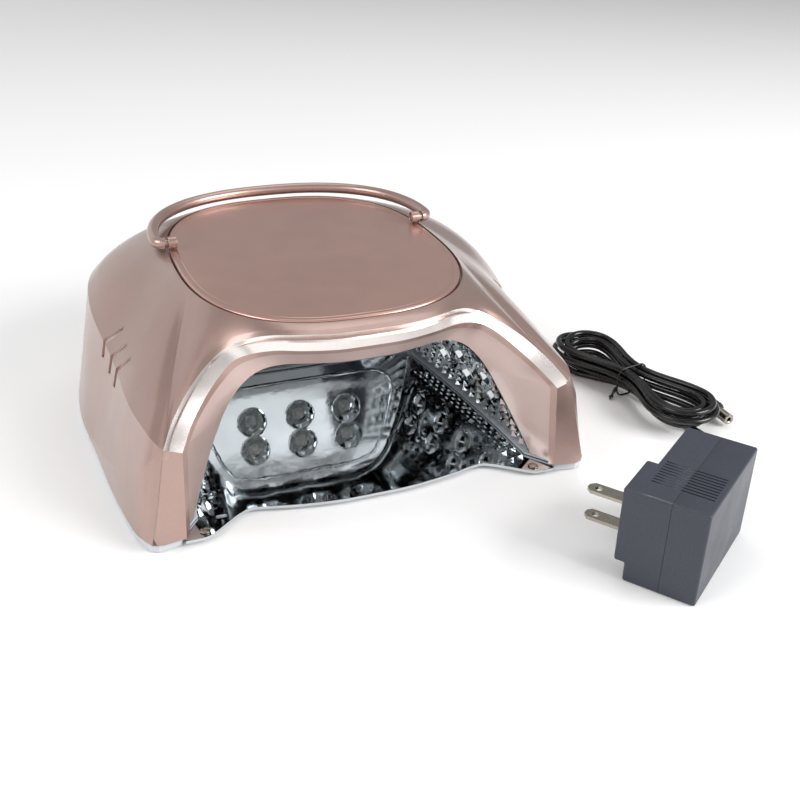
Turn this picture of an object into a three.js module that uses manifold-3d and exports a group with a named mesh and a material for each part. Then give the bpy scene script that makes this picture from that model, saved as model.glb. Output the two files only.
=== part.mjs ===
// UV LED nail lamp: a domed cover on a white base frame, with a chromed reflector and LED boards inside,
// a slide-out mirror tray, a folding carry handle, and the plug-in power supply that charges it.
// Millimetres, +Z up. The hand opening faces -Y, and +X is to the right seen from there.
// Lamp parts are drawn with y counted back from the front feet, and the lamp group centres them.

import * as THREE from "three";
import { mergeVertices } from "three/addons/utils/BufferGeometryUtils.js";
import Module from "manifold-3d";

const wasm = await Module();
wasm.setup();

// ---------- Driving dimensions ----------

const DEPTH = 208; // front feet to the back of the cover
const GAP = 0.35; // clearance between pieces that touch

const COVER_WALL = 2.2;
const COVER_FOOT_Z = 5; // lower edge of the cover, above the base frame
const RIDGE_BULGE = 2.4;
const GILL = { depth: 1.1, spots: [[97, 54.5], [84.5, 52], [73, 50.8]] }; // y and z of each chevron's fold
const LID = { halfWidth: 65.5, halfDepth: 84, centreY: 104, roundness: 2.6, rimZ: 83.5 };
const LID_SEAT = { depth: 3.2, width: 5 };
const LID_THICKNESS = 3.4;
const LID_GROOVE = 1.1; // open line between the lid and the cover

const REFLECTOR_WALL = 1.4;
const LINING_WALL = 1.8;
const CUP = { depth: 5, floorRadius: 3.3, wall: 1.1 }; // cone-shaped cup round each LED
const LED = { radius: 2.6, height: 3.2, standoff: 5.6, boardThickness: 1.6 };
const SIDE_BOARD_S = 1.42; // how far down the reflector's side its LEDs lie
const SENSOR = { x: [18, -18], y: 34.5, radius: 2.2 };

const FRAME = { bottomZ: 0.6, ledgeZ: 1.5, grooveTopZ: 3.7, topZ: 4.65, inset: 0.8 };
const LIP_WIDTH = 2; // white strip between the reflector and the tray
const TRAY = { bottomZ: 1.85, topZ: 3.35 };
const RIVET = { x: [76.5, -76.5], y: 5.2, radius: 1.3 };
const SCREW = { inset: 5.2, headRadius: 2.9 };
const FOOT = { radius: 5 };
const FOOT_SPOTS = [[97, 27], [-97, 27], [80, 178], [-80, 178]];

const HANDLE = { halfWidth: 69.5, pivotY: 124, backY: 191, z: 87.2, radius: 2.8 };
const HANDLE_PIN = { radius: 1.8, endX: 60.2 };

// Rear control panel, centred on x = 0.
const PANEL = { width: 84, height: 30, z: 39, innerY: 202.2, outerY: 206 };
const WINDOW = { width: 28, height: 11, x: 16, z: 46 };
const BUTTON = { width: 9, height: 5.4, x: [4, 16, 28], z: 32 };
const SWITCH = { width: 12, height: 19, x: -16, pivotY: 203.4, tilt: 8 };
const JACK = { x: -32, radius: 5 };
const BOARD_FRONT_Y = 198.8; // face of the control board that the timer buttons press
const BATTERY_LEAD = [[35.6, 168, 14], [39, 171, 16], [41, 180, 24], [40, 190, 33], [36, 195.6, 38]];
const LED_LEAD = [
  [20, 195.6, 52], [20, 188, 60], [18, 165, 69], [14, 136, 75], [10, 118, 76], [8, 108, 75],
];

const SUPPLY = { x: 106.4, y: -72.2, turn: 36.2, length: 60, thickness: 30, height: 42.5 };
const PLUG_PAD = { length: 25, thickness: 4.5, height: 34, bladeX: -16, bladeZ: 22 };
const STRAIN_Z = 8.5;
const CORD_RADIUS = 1.6;
const HANK = { x: 162, y: 58, turn: -79.6, halfLength: 54, radius: 16, waist: 9.6, bottomZ: 1.8, topZ: 17 };
const CONNECTOR = { x: 189.8, y: 41.8, z: 4.4 };

// ---------- Materials ----------

const finish = (color, roughness, metalness) => ({ color, roughness, metalness });
const ROSE_GOLD = finish("#b8968d", 0.35, 0.75);
const ROSE_SATIN = finish("#c4a49b", 0.3, 0.8);
const CHROME = finish("#e8eaec", 0.05, 1);
const MIRROR = finish("#f2f4f6", 0.02, 1);
const WHITE_PLASTIC = finish("#eceef0", 0.4, 0);
const DARK_PLASTIC = finish("#3b3d42", 0.5, 0);
const BLACK_RUBBER = finish("#161616", 0.7, 0);
const GLOSS_BLACK = finish("#101114", 0.12, 0);
const NICKEL = finish("#c9c6bf", 0.25, 1);
const BOARD_WHITE = finish("#e6e8e4", 0.5, 0);
const BOARD_GREEN = finish("#1f5a3a", 0.5, 0);
const CELL_BLUE = finish("#2c5fa8", 0.4, 0);

// ---------- Geometry helpers ----------

const vec = (x, y, z) => new THREE.Vector3(x, y, z);
const { lerp, smoothstep, degToRad: rad } = THREE.MathUtils;
const steps = (count) => Array.from({ length: count + 1 }, (_, i) => i / count);
const UP = vec(0, 0, 1);
const BACK = vec(0, 1, 0);

// Smooth curve through hand-placed points; t runs from 0 to 1, evenly from point to point.
function through(points) {
  const curve = new THREE.CatmullRomCurve3(points.map((p) => vec(...p)), false, "catmullrom", 0.5);
  return (t) => curve.getPoint(t);
}

function toSolid(geometry) {
  const plain = geometry.index ? geometry.toNonIndexed() : geometry.clone();
  plain.deleteAttribute("normal");
  plain.deleteAttribute("uv");
  const merged = mergeVertices(plain, 1e-3);
  const mesh = new wasm.Mesh({
    numProp: 3,
    vertProperties: merged.attributes.position.array,
    triVerts: new Uint32Array(merged.index.array),
  });
  return new wasm.Manifold(mesh);
}

function toGeometry(solid) {
  const mesh = solid.getMesh();
  const geometry = new THREE.BufferGeometry();
  geometry.setAttribute("position", new THREE.BufferAttribute(new Float32Array(mesh.vertProperties), 3));
  geometry.setIndex(new THREE.BufferAttribute(new Uint32Array(mesh.triVerts), 1));
  return geometry;
}

const join = (...bodies) => toGeometry(bodies.map(toSolid).reduce((a, b) => a.add(b)));
const cut = (body, ...tools) =>
  toGeometry(tools.reduce((solid, tool) => solid.subtract(toSolid(tool)), toSolid(body)));

// Open surface from grids of points, with shared points welded.
function weld(grids) {
  const points = [];
  const faces = [];
  const known = new Map();
  const indexOf = (p) => {
    const key = [p.x, p.y, p.z].map((c) => Math.round(c * 1000) + 0).join();
    if (!known.has(key)) {
      known.set(key, points.length);
      points.push(p.clone());
    }
    return known.get(key);
  };
  const addFace = (a, b, c) => {
    if (a !== b && b !== c && c !== a) faces.push([a, b, c]);
  };
  for (const grid of grids) {
    for (let i = 0; i + 1 < grid.length; i++) {
      for (let j = 0; j + 1 < grid[i].length; j++) {
        const [a, b, c, d] = [grid[i][j], grid[i][j + 1], grid[i + 1][j + 1], grid[i + 1][j]].map(indexOf);
        addFace(a, b, c);
        addFace(a, c, d);
      }
    }
  }
  return { points, faces };
}

// Normal at each point, its faces weighted by their angle there.
function pointNormals({ points, faces }) {
  const normals = points.map(() => vec(0, 0, 0));
  const direction = (from, to) => points[to].clone().sub(points[from]).normalize();
  for (const [a, b, c] of faces) {
    const normal = direction(a, b).cross(direction(a, c)).normalize();
    for (const [i, j, k] of [[a, b, c], [b, c, a], [c, a, b]]) {
      normals[i].addScaledVector(normal, direction(i, j).angleTo(direction(i, k)));
    }
  }
  return normals.map((n) => n.normalize());
}

// Sheet of even wall thickness behind an open surface. `facing` gives, for a point, roughly the way the
// surface looks; the wall grows the other way. `rim` may place the inner point of a point on the edge.
function sheet(grids, wall, facing, rim) {
  const surface = weld(grids);
  let normals = pointNormals(surface);
  const agreement = normals.reduce((sum, n, i) => sum + n.dot(facing(surface.points[i])), 0);
  if (agreement < 0) {
    surface.faces = surface.faces.map(([a, b, c]) => [a, c, b]);
    normals = normals.map((n) => n.negate());
  }
  const count = surface.points.length;
  const behind = (p, i) => p.clone().addScaledVector(normals[i], -wall);
  const inner = surface.points.map((p, i) => rim(p, normals[i]) ?? behind(p, i));
  const faces = surface.faces.flatMap(([a, b, c]) => [[a, b, c], [a + count, c + count, b + count]]);
  const edges = new Map();
  for (const [a, b, c] of surface.faces) {
    for (const [p, q] of [[a, b], [b, c], [c, a]]) {
      if (!edges.delete(`${q},${p}`)) edges.set(`${p},${q}`, [p, q]);
    }
  }
  for (const [p, q] of edges.values()) faces.push([q, p, p + count], [q, p + count, q + count]);
  const geometry = new THREE.BufferGeometry().setFromPoints([...surface.points, ...inner]);
  geometry.setIndex(faces.flat());
  return geometry;
}

const mirror = (p) => vec(-p.x, p.y, p.z);
const mirrored = (grid) => grid.map((row) => row.map(mirror).reverse());
const bothSides = (grids) => [...grids, ...grids.map(mirrored)];

function box(width, depth, height, x, y, z) {
  return new THREE.BoxGeometry(width, depth, height).translate(x, y, z);
}

// Cylinder along the way `axis` points, starting at `start`.
function rod(radius, length, start, axis, sides = 12) {
  const geometry = new THREE.CylinderGeometry(radius, radius, length, sides).translate(0, length / 2, 0);
  geometry.applyQuaternion(new THREE.Quaternion().setFromUnitVectors(vec(0, 1, 0), axis.clone().normalize()));
  return geometry.translate(start.x, start.y, start.z);
}

const flatShape = (points) => new THREE.Shape(points.map(([x, y]) => new THREE.Vector2(x, y)));

function plate(shape, bottomZ, topZ) {
  const options = { depth: topZ - bottomZ, bevelEnabled: false, curveSegments: 6 };
  return new THREE.ExtrudeGeometry(shape, options).translate(0, 0, bottomZ);
}

// Rounded rectangle standing in the XZ plane, from y = frontY to y = backY.
function uprightBlock(width, height, corner, x, z, frontY, backY) {
  const w = width / 2 - corner;
  const h = height / 2 - corner;
  const shape = new THREE.Shape();
  shape.absarc(w, h, corner, 0, rad(90));
  shape.absarc(-w, h, corner, rad(90), rad(180));
  shape.absarc(-w, -h, corner, rad(180), rad(270));
  shape.absarc(w, -h, corner, rad(270), rad(360));
  const options = { depth: backY - frontY, bevelEnabled: false, curveSegments: 3 };
  return new THREE.ExtrudeGeometry(shape, options).rotateX(rad(90)).translate(x, backY, z);
}

// Round bar along a path of points.
function tube(points, radius, segments, sides) {
  const path = new THREE.CatmullRomCurve3(points.map((p) => vec(...p)), false, "centripetal");
  const section = steps(sides).slice(1).map((t) => {
    const angle = 2 * Math.PI * t;
    return [radius * Math.cos(angle), radius * Math.sin(angle)];
  });
  return new THREE.ExtrudeGeometry(flatShape(section), { steps: segments, extrudePath: path });
}

// ---------- Lines that shape the lamp, right half ----------

// Hand opening, each line from the middle of its top to the leg, then down the leg.
// The outer and inner edges bound the chamfer; the lining runs from the inner edge to the reflector.
const ARCH = {
  outer: {
    top: through([
      [0, 13.3, 81.2], [16, 13.8, 81.2], [30, 17, 81.3], [42, 23, 80.2], [52, 29, 76.5],
      [62, 30, 71.3], [74, 23, 63.3], [84, 13.5, 54], [90.2, 4.6, 46],
    ]),
    leg: through([[90.2, 4.6, 46], [99, 0, COVER_FOOT_Z]]),
  },
  inner: {
    top: through([
      [0, 15.6, 74.6], [14, 15.8, 74.7], [28, 18, 75.2], [39, 21.5, 75.2], [48, 26, 72.6],
      [57, 26.5, 69], [67, 21.5, 62], [76.5, 14, 53], [84, 3.8, 44.3],
    ]),
    leg: through([[84, 3.8, 44.3], [86.2, 2.2, COVER_FOOT_Z]]),
  },
  lining: {
    top: through([
      [0, 22, 63.5], [13, 22.3, 63.7], [25, 24, 64.3], [35, 26.3, 64.4], [43, 27.8, 63],
      [49, 28.2, 60], [54, 28.2, 55.5], [58, 27.6, 50.5], [61.5, 26.8, 45],
    ]),
    leg: through([[61.5, 26.8, 45], [68, 23.6, 32], [74.2, 18.8, 18], [79.5, 13.8, COVER_FOOT_Z]]),
  },
};

// Reflector where its sides meet the leaning back wall: x and z of the half outline.
const BACK_OUTLINE = {
  top: through([[0, 0, 66], [16, 0, 66], [29, 0, 65.6], [39, 0, 63], [46, 0, 57], [50.5, 0, 50]]),
  leg: through([[50.5, 0, 50], [57, 0, 36], [63, 0, 20], [67, 0, COVER_FOOT_Z]]),
};
const BACK_WALL = { footY: 140, lean: 0.31 };

// Sides of the cover, each line from the leg round to the middle of the back.
const CREASE = through([
  [90.2, 4.6, 46], [92.6, 8, 47.6], [95, 16, 49], [98.3, 42, 49], [99.5, 80, 51],
  [103.5, 124, 59], [98, 162, 62.5], [77, 188, 64.5], [40, 201, 65.6], [0, 203, 66],
]);
const FOOT_LINE = through([
  [99, 0, COVER_FOOT_Z], [101.6, 4.6, COVER_FOOT_Z], [104.8, 14, COVER_FOOT_Z], [108.8, 42, COVER_FOOT_Z],
  [112, 80, COVER_FOOT_Z], [115, 124, COVER_FOOT_Z], [109, 164, COVER_FOOT_Z], [86, 193, COVER_FOOT_Z],
  [44, 206, COVER_FOOT_Z], [0, DEPTH, COVER_FOOT_Z],
]);
const RIDGE_START = 0.95; // height of the skirt's ridge at the leg, as a share of the skirt
const RIDGE_END = 0.56; // share of the foot line where the ridge runs out
const LEG_LID_ANGLE = -14.5; // degrees round the lid's outline that lie opposite the top of the leg

// Mirror tray: front edge from the middle out to the tab in front of the leg, then one side.
const TRAY_FRONT = through([
  [0, 8.4, 0], [17, 8.8, 0], [36, 11.6, 0], [53, 15.4, 0], [60, 13, 0], [66, 8.5, 0],
  [74.5, 1.9, 0], [80, 0.9, 0], [85.4, 0.9, 0],
]);
const TRAY_SIDE = through([
  [85.4, 14, 0], [83.4, 60, 0], [75, 118, 0], [62, 138, 0], [40, 146, 0], [0, 147, 0],
]);

const TOP_STEPS = steps(12);
const LEG_STEPS = [0, 1 - RIDGE_START, 1 - RIDGE_START / 2, 1];
const ARCH_STEPS = [...TOP_STEPS, ...LEG_STEPS.slice(1).map((t) => 1 + t)];
const SIDE_STEPS = steps(18);

// Point of a two-part line: s from 0 to 1 along the top, from 1 to 2 down the leg.
const archPoint = (line, s) => (s <= 1 ? line.top(s) : line.leg(s - 1));

function lidOutline(angle, inset = 0) {
  const power = 2 / LID.roundness;
  const bend = (value) => Math.sign(value) * Math.abs(value) ** power;
  const x = (LID.halfWidth - inset) * bend(Math.cos(rad(angle)));
  const y = LID.centreY + (LID.halfDepth - inset) * bend(Math.sin(rad(angle)));
  return [x, y];
}

// Stations round the lid's outline, shared by the lid and the cover.
const frontAngle = (t) => lerp(-90, LEG_LID_ANGLE, t);
const sideAngle = (t) => lerp(LEG_LID_ANGLE, 90, t * t);

// ---------- Cover and lid ----------

const LID_SEAT_Z = LID.rimZ - LID_SEAT.depth;
const EDGE_CLEARANCE = 3; // keeps the inside of the wall from folding at the edge of the opening

// Curve from the cover's widest line up to the lid: straight beside the opening, full at the back.
function shoulder(low, angle, fullness) {
  const high = vec(...lidOutline(angle), LID.rimZ);
  const reach = lerp(0.5, 0.115, fullness);
  const rise = lerp(0.5, 0.86, fullness);
  const knee = vec(lerp(low.x, high.x, reach), lerp(low.y, high.y, reach), lerp(low.z, high.z, rise));
  const curve = new THREE.QuadraticBezierCurve3(low, knee, high);
  const first = Math.max(0.18, EDGE_CLEARANCE / low.distanceTo(high));
  return [low, ...steps(4).map((t) => curve.getPoint(lerp(first, 1, t)))];
}

// The recess that the lid lies in: down from the rim, then in along the seat.
const lidSeat = (angle) => [
  vec(...lidOutline(angle), LID_SEAT_Z),
  vec(...lidOutline(angle, LID_SEAT.width), LID_SEAT_Z),
];

function frontColumn(t) {
  const angle = frontAngle(t);
  return [...shoulder(ARCH.outer.top(t), angle, 0.5 * (1 - t)), ...lidSeat(angle)];
}

function sideColumn(t) {
  const angle = sideAngle(t);
  return [...shoulder(CREASE(t), angle, 0.55 * smoothstep(t, 0.1, 0.6)), ...lidSeat(angle)];
}

// Side of the cover below the crease, with a ridge that falls from the leg to the back of the foot line.
function skirtColumn(t) {
  const foot = FOOT_LINE(t);
  const crease = CREASE(t);
  const height = lerp(RIDGE_START, 0, smoothstep(t, 0, RIDGE_END));
  const bulge = RIDGE_BULGE * Math.sin(Math.PI * height) * smoothstep(t, 0.02, 0.2);
  const outward = vec(foot.x, foot.y - LID.centreY, 0).normalize();
  const swell = (share) => foot.clone().lerp(crease, share * height).addScaledVector(outward, share * bulge);
  return [foot, swell(0.5), swell(1), crease];
}

const near = (a, b) => Math.abs(a - b) < 0.01;
const isFoot = (p) => near(p.z, COVER_FOOT_Z);
const pointKey = (p) => [p.x, p.y, p.z].map((c) => Math.round(c * 100)).join();

// The cover's edge round the hand opening turns in along the lining, from these directions.
const LINING_DIRECTION = new Map();
for (const s of ARCH_STEPS) {
  const edge = archPoint(ARCH.inner, s);
  const inward = archPoint(ARCH.lining, s).sub(edge).normalize();
  LINING_DIRECTION.set(pointKey(edge), inward);
  LINING_DIRECTION.set(pointKey(mirror(edge)), mirror(inward));
}

// Inner points of the cover where an even wall would not do: the lid's recess, the opening, the foot.
function coverRim(p, normal) {
  if (near(p.z, LID_SEAT_Z)) return p.clone().setZ(p.z - COVER_WALL);
  if (near(p.z, LID.rimZ)) {
    const outward = vec(p.x, p.y - LID.centreY, 0).normalize();
    return p.clone().addScaledVector(outward, 0.7).setZ(p.z - 4);
  }
  const direction = LINING_DIRECTION.get(pointKey(p));
  if (direction) {
    const inner = p.clone().addScaledVector(direction, COVER_WALL);
    return isFoot(p) ? inner.setZ(COVER_FOOT_Z) : inner;
  }
  if (!isFoot(p)) return null;
  return p.clone().addScaledVector(vec(normal.x, normal.y, 0).normalize(), -COVER_WALL);
}

// Places of the base screws and their posts, a little inside the foot line.
const SCREW_SPOTS = [0.17, 0.78].flatMap((t) => {
  const spot = insideFootLine(t, SCREW.inset);
  return [[spot.x, spot.y], [-spot.x, spot.y]];
});

function insideFootLine(t, inset) {
  const along = FOOT_LINE(Math.min(t + 0.01, 1)).sub(FOOT_LINE(Math.max(t - 0.01, 0))).normalize();
  return FOOT_LINE(t).add(vec(-along.y * inset, along.x * inset, 0));
}

const awayFromMiddle = (p) => vec(p.x, p.y - LID.centreY, p.z - 20);

// Prism across the whole cover with the outline of one chevron, which folds over the crease.
function gillPrism([y, z]) {
  const outline = [[0, 0], [-7, 8], [-8.3, 7], [-2.6, 0], [-3.4, -7.5], [-1.2, -8]];
  const shape = flatShape(outline.map(([dy, dz]) => [y + dy, z + dz]));
  const length = 240;
  const turn = new THREE.Matrix4().makeBasis(vec(0, 1, 0), vec(0, 0, 1), vec(1, 0, 0));
  return new THREE.ExtrudeGeometry(shape, { depth: length, bevelEnabled: false })
    .applyMatrix4(turn)
    .translate(-length / 2, 0, 0);
}

// Cutters for the shallow chevrons: the prisms where they lie near the outer face of the cover's sides.
function gillCutters() {
  const clear = 1.5;
  const outside = (p) => p.clone().addScaledVector(awayFromMiddle(p).normalize(), clear);
  const slope = SIDE_STEPS.map((t) => sideColumn(t).slice(0, -2));
  const sides = [slope, SIDE_STEPS.map(skirtColumn)].map((grid) => grid.map((row) => row.map(outside)));
  const skin = toSolid(sheet(bothSides(sides), clear + GILL.depth, awayFromMiddle, () => null));
  return GILL.spots.map((spot) => toGeometry(toSolid(gillPrism(spot)).intersect(skin)));
}

function outerCover() {
  const chamfer = ["outer", "inner"].map((line) => ARCH_STEPS.map((s) => archPoint(ARCH[line], s)));
  const upper = [...TOP_STEPS.map(frontColumn), ...SIDE_STEPS.slice(1).map(sideColumn)];
  const skirt = SIDE_STEPS.map(skirtColumn);
  const shell = sheet(bothSides([chamfer, upper, skirt]), COVER_WALL, awayFromMiddle, coverRim);
  const posts = SCREW_SPOTS.map(([x, y]) => rod(3.2, 7, vec(x, y, COVER_FOOT_Z), UP, 10));
  const bores = SCREW_SPOTS.map(([x, y]) => rod(1.7, 7.5, vec(x, y, COVER_FOOT_Z - 1), UP, 8));
  const panelHole = uprightBlock(PANEL.width + 2 * GAP, PANEL.height + 2 * GAP, 4, 0, PANEL.z, 190, 215);
  return cut(join(shell, ...posts), ...bores, panelHole, ...gillCutters());
}

function topLid() {
  const angles = [...TOP_STEPS.map(frontAngle), ...SIDE_STEPS.slice(1).map(sideAngle)];
  const right = angles.map((angle) => lidOutline(angle, LID_GROOVE));
  const left = right.slice(1, -1).map(([x, y]) => [-x, y]).reverse();
  const bottomZ = LID_SEAT_Z + GAP;
  return plate(flatShape([...right, ...left]), bottomZ, bottomZ + LID_THICKNESS);
}

// ---------- Hand opening: lining, reflector, LED boards ----------

// Rim rule that keeps the lower edge of a sheet level.
const levelFoot = (wall) => (p, normal) =>
  isFoot(p) ? p.clone().addScaledVector(normal, -wall).setZ(COVER_FOOT_Z) : null;

function archLining() {
  const start = ARCH_STEPS.map((s) => {
    const edge = archPoint(ARCH.inner, s);
    const direction = archPoint(ARCH.lining, s).sub(edge).normalize();
    const point = edge.addScaledVector(direction, COVER_WALL + GAP);
    return s === 2 ? point.setZ(COVER_FOOT_Z) : point;
  });
  const end = ARCH_STEPS.map((s) => archPoint(ARCH.lining, s));
  return sheet(bothSides([[start, end]]), LINING_WALL, () => vec(0, -1, 0), levelFoot(LINING_WALL));
}

function backWallPoint(s) {
  const outline = archPoint(BACK_OUTLINE, s);
  return vec(outline.x, BACK_WALL.footY - BACK_WALL.lean * (outline.z - COVER_FOOT_Z), outline.z);
}

// Point of the reflector's roof and sides: s along the arch, depth 0 at the lining and 1 at the back wall.
function reflectorPoint(s, depth) {
  const front = archPoint(ARCH.lining, s).add(vec(0, LINING_WALL + 1.5 * GAP, 0));
  const point = front.lerp(backWallPoint(s), depth);
  point.x *= 1 + 0.025 * Math.sin(Math.PI * depth);
  return point;
}

const CAVITY_MIDDLE = vec(0, 80, 25);

function reflectorSide() {
  const along = reflectorPoint(SIDE_BOARD_S, 0.6).sub(reflectorPoint(SIDE_BOARD_S, 0.4)).normalize();
  const up = reflectorPoint(SIDE_BOARD_S - 0.1, 0.5).sub(reflectorPoint(SIDE_BOARD_S + 0.1, 0.5));
  const normal = up.clone().cross(along).normalize();
  return { centre: reflectorPoint(SIDE_BOARD_S, 0.5), along, normal };
}

// Each LED board: a point of the reflector's surface, the way along the board, the way its LEDs shine,
// and the cup radius and places of its LEDs round that point.
function ledBoards() {
  const side = reflectorSide();
  const columns = [-27, 0, 27];
  const sideLeds = [-36, -12, 12, 36].flatMap((u) => [[u, -6.5], [u, 6.5]]);
  const right = { ...side, cup: 5.8, size: [94, 28], leds: sideLeds };
  const { centre, along, normal } = side;
  return {
    roof: {
      centre: vec(0, 72, 65), along: vec(1, 0, 0), normal: vec(0, 0, -1),
      cup: 9, size: [76, 66], leds: columns.flatMap((u) => [[u, -24], [u, 0], [u, 24]]),
    },
    back: {
      centre: vec(0, BACK_WALL.footY - BACK_WALL.lean * 30, COVER_FOOT_Z + 30), along: vec(1, 0, 0),
      normal: vec(0, -1, -BACK_WALL.lean).normalize(),
      cup: 7.6, size: [70, 38], leds: columns.flatMap((u) => [[u, -5.5], [u, 10.5]]),
    },
    right,
    left: { ...right, centre: mirror(centre), along: mirror(along), normal: mirror(normal) },
  };
}

// Places a geometry drawn with +Z along the board's normal.
function ontoBoard(geometry, { centre, along, normal }) {
  const across = normal.clone().cross(along).normalize();
  const matrix = new THREE.Matrix4().makeBasis(along, across, normal).setPosition(centre);
  return geometry.applyMatrix4(matrix);
}

function ledBoard(board) {
  const [length, width] = board.size;
  const base = box(length, width, LED.boardThickness, 0, 0, -LED.standoff - LED.boardThickness / 2);
  const leds = board.leds.map(([u, v]) =>
    rod(LED.radius, LED.height + 0.2, vec(u, v, -LED.standoff - 0.2), UP, 10));
  return ontoBoard(join(base, ...leds), board);
}

// Cone of the cups, from below the cup's floor up to or past the reflector's surface.
function cupCone(board, [u, v], extra, bottom, top) {
  const slope = (board.cup - CUP.floorRadius) / CUP.depth;
  const radiusAt = (w) => CUP.floorRadius + slope * (w + CUP.depth) + extra;
  const cone = new THREE.CylinderGeometry(radiusAt(top), radiusAt(bottom), top - bottom, 10)
    .rotateX(rad(90))
    .translate(u, v, (top + bottom) / 2);
  return ontoBoard(cone, board);
}

function innerReflector(boards) {
  const depths = [0, 0.3, 0.6, 1];
  const walls = depths.map((d) => ARCH_STEPS.map((s) => reflectorPoint(s, d)));
  const rear = [walls.at(-1), ARCH_STEPS.map(() => vec(0, BACK_WALL.footY, COVER_FOOT_Z))];
  const towardsMiddle = (p) => CAVITY_MIDDLE.clone().sub(p);
  const dish = sheet(bothSides([walls, rear]), REFLECTOR_WALL, towardsMiddle, levelFoot(REFLECTOR_WALL));
  const eachCup = (make) =>
    Object.values(boards).flatMap((board) => board.leds.map((led) => make(board, led)));
  const cupWalls = eachCup((board, led) => cupCone(board, led, CUP.wall, -CUP.depth, 0));
  const cupHollows = eachCup((board, led) => cupCone(board, led, 0, -CUP.depth - 0.5, 1.5));
  const sensorHoles = SENSOR.x.map((x) => rod(SENSOR.radius + GAP, 10, vec(x, SENSOR.y, 58), UP, 10));
  return cut(join(dish, ...cupWalls), ...cupHollows, ...sensorHoles);
}

// ---------- Base frame, tray, feet, screws ----------

const flat = ({ x, y }) => [x, y];
const bothEdges = (half) => [...half, ...half.map(([x, y]) => [-x, y]).reverse()];

// One layer of the U-shaped base frame, between its outer line and an inner line from front to back.
function frameLayer(innerHalf, bottomZ, topZ) {
  const front = [[86.6, 2.8], [96.3, 0.8]];
  const around = SIDE_STEPS.slice(1).map((t) => flat(insideFootLine(t, FRAME.inset)));
  around[around.length - 1][0] = 0;
  const outer = bothEdges([...front, ...around.slice(0, -1)]);
  const middleBack = around.at(-1);
  outer.splice(outer.length / 2, 0, middleBack);
  const inner = bothEdges(innerHalf);
  return plate(flatShape([...outer, ...inner.reverse()]), bottomZ, topZ);
}

const TRAY_SIDE_STEPS = steps(10).slice(0, -1);

function traySideLine(inset) {
  return TRAY_SIDE_STEPS.map((t) => {
    const [x, y] = flat(TRAY_SIDE(t));
    return [x - inset, Math.min(y - inset * smoothstep(t, 0.5, 1), 147 - inset)];
  });
}

function baseFrame() {
  const ledge = [[86.6, 4], ...traySideLine(5)];
  const groove = [[86.6, 4], ...traySideLine(-2 * GAP)];
  const lip = [[86.6, 4], ...steps(4).map((d) => {
    const wall = reflectorPoint(2, d);
    return [wall.x - LIP_WIDTH, Math.min(wall.y, BACK_WALL.footY - LIP_WIDTH)];
  })];
  const layers = [
    frameLayer(ledge, FRAME.bottomZ, FRAME.ledgeZ),
    frameLayer(groove, FRAME.ledgeZ, FRAME.grooveTopZ),
    frameLayer(lip, FRAME.grooveTopZ, FRAME.topZ),
  ];
  const footRecesses = FOOT_SPOTS.map(([x, y]) => rod(FOOT.radius + GAP, 2, vec(x, y, 1.6 - 2), UP, 16));
  const headRecesses = SCREW_SPOTS.map(([x, y]) => rod(SCREW.headRadius + GAP, 2.3, vec(x, y, 0), UP, 12));
  const shankHoles = SCREW_SPOTS.map(([x, y]) => rod(1.8, 6, vec(x, y, 0), UP, 8));
  return cut(join(...layers), ...footRecesses, ...headRecesses, ...shankHoles);
}

function mirrorTray() {
  const front = steps(16).map((t) => flat(TRAY_FRONT(t)));
  const side = TRAY_SIDE_STEPS.map((t) => flat(TRAY_SIDE(t)));
  const right = [...front, ...side];
  const left = right.slice(1).map(([x, y]) => [-x, y]).reverse();
  const slab = plate(flatShape([...right, [0, 147], ...left]), TRAY.bottomZ, TRAY.topZ);
  const slots = [67.8, -67.8].map((x) => box(5, 2.4, 4, x, 13.6, TRAY.topZ));
  const holes = RIVET.x.map((x) => rod(RIVET.radius + GAP, 4, vec(x, RIVET.y, 1), UP, 8));
  return cut(slab, ...slots, ...holes);
}

function trayRivet(x) {
  const shank = rod(RIVET.radius, 2, vec(x, RIVET.y, TRAY.bottomZ), UP, 8);
  const head = rod(2.3, 0.5, vec(x, RIVET.y, TRAY.topZ + GAP), UP, 12);
  return join(shank, head);
}

function baseScrew([x, y]) {
  const head = rod(SCREW.headRadius, 1.2, vec(x, y, 0.8), UP, 12);
  return join(head, rod(1.35, 10, vec(x, y, 1), UP, 8));
}

const rubberFoot = ([x, y]) => rod(FOOT.radius, 1.25, vec(x, y, 0), UP, 16);

// ---------- Carry handle ----------

function handlePath() {
  const power = 2 / 2.3;
  const bow = steps(14).slice(1, -1).map((t) => {
    const angle = Math.PI * t;
    const c = Math.cos(angle);
    const x = HANDLE.halfWidth * Math.sign(c) * Math.abs(c) ** power;
    const y = HANDLE.pivotY + 4 + (HANDLE.backY - HANDLE.pivotY - 4) * Math.sin(angle) ** power;
    return [x, y, HANDLE.z];
  });
  const corner = [[65.4, HANDLE.pivotY], [67.6, HANDLE.pivotY + 0.8], [69.2, HANDLE.pivotY + 3.4]];
  const start = corner.map(([x, y]) => [x, y, HANDLE.z]);
  const end = corner.map(([x, y]) => [-x, y, HANDLE.z]).reverse();
  return [...start, ...bow, ...end];
}

function carryHandle() {
  const pins = [1, -1].map((side) => {
    const start = vec(side * 66, HANDLE.pivotY, HANDLE.z);
    return rod(HANDLE_PIN.radius, 66 - HANDLE_PIN.endX, start, vec(-side, 0, 0), 12);
  });
  return join(tube(handlePath(), HANDLE.radius, 72, 10), ...pins);
}

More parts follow.
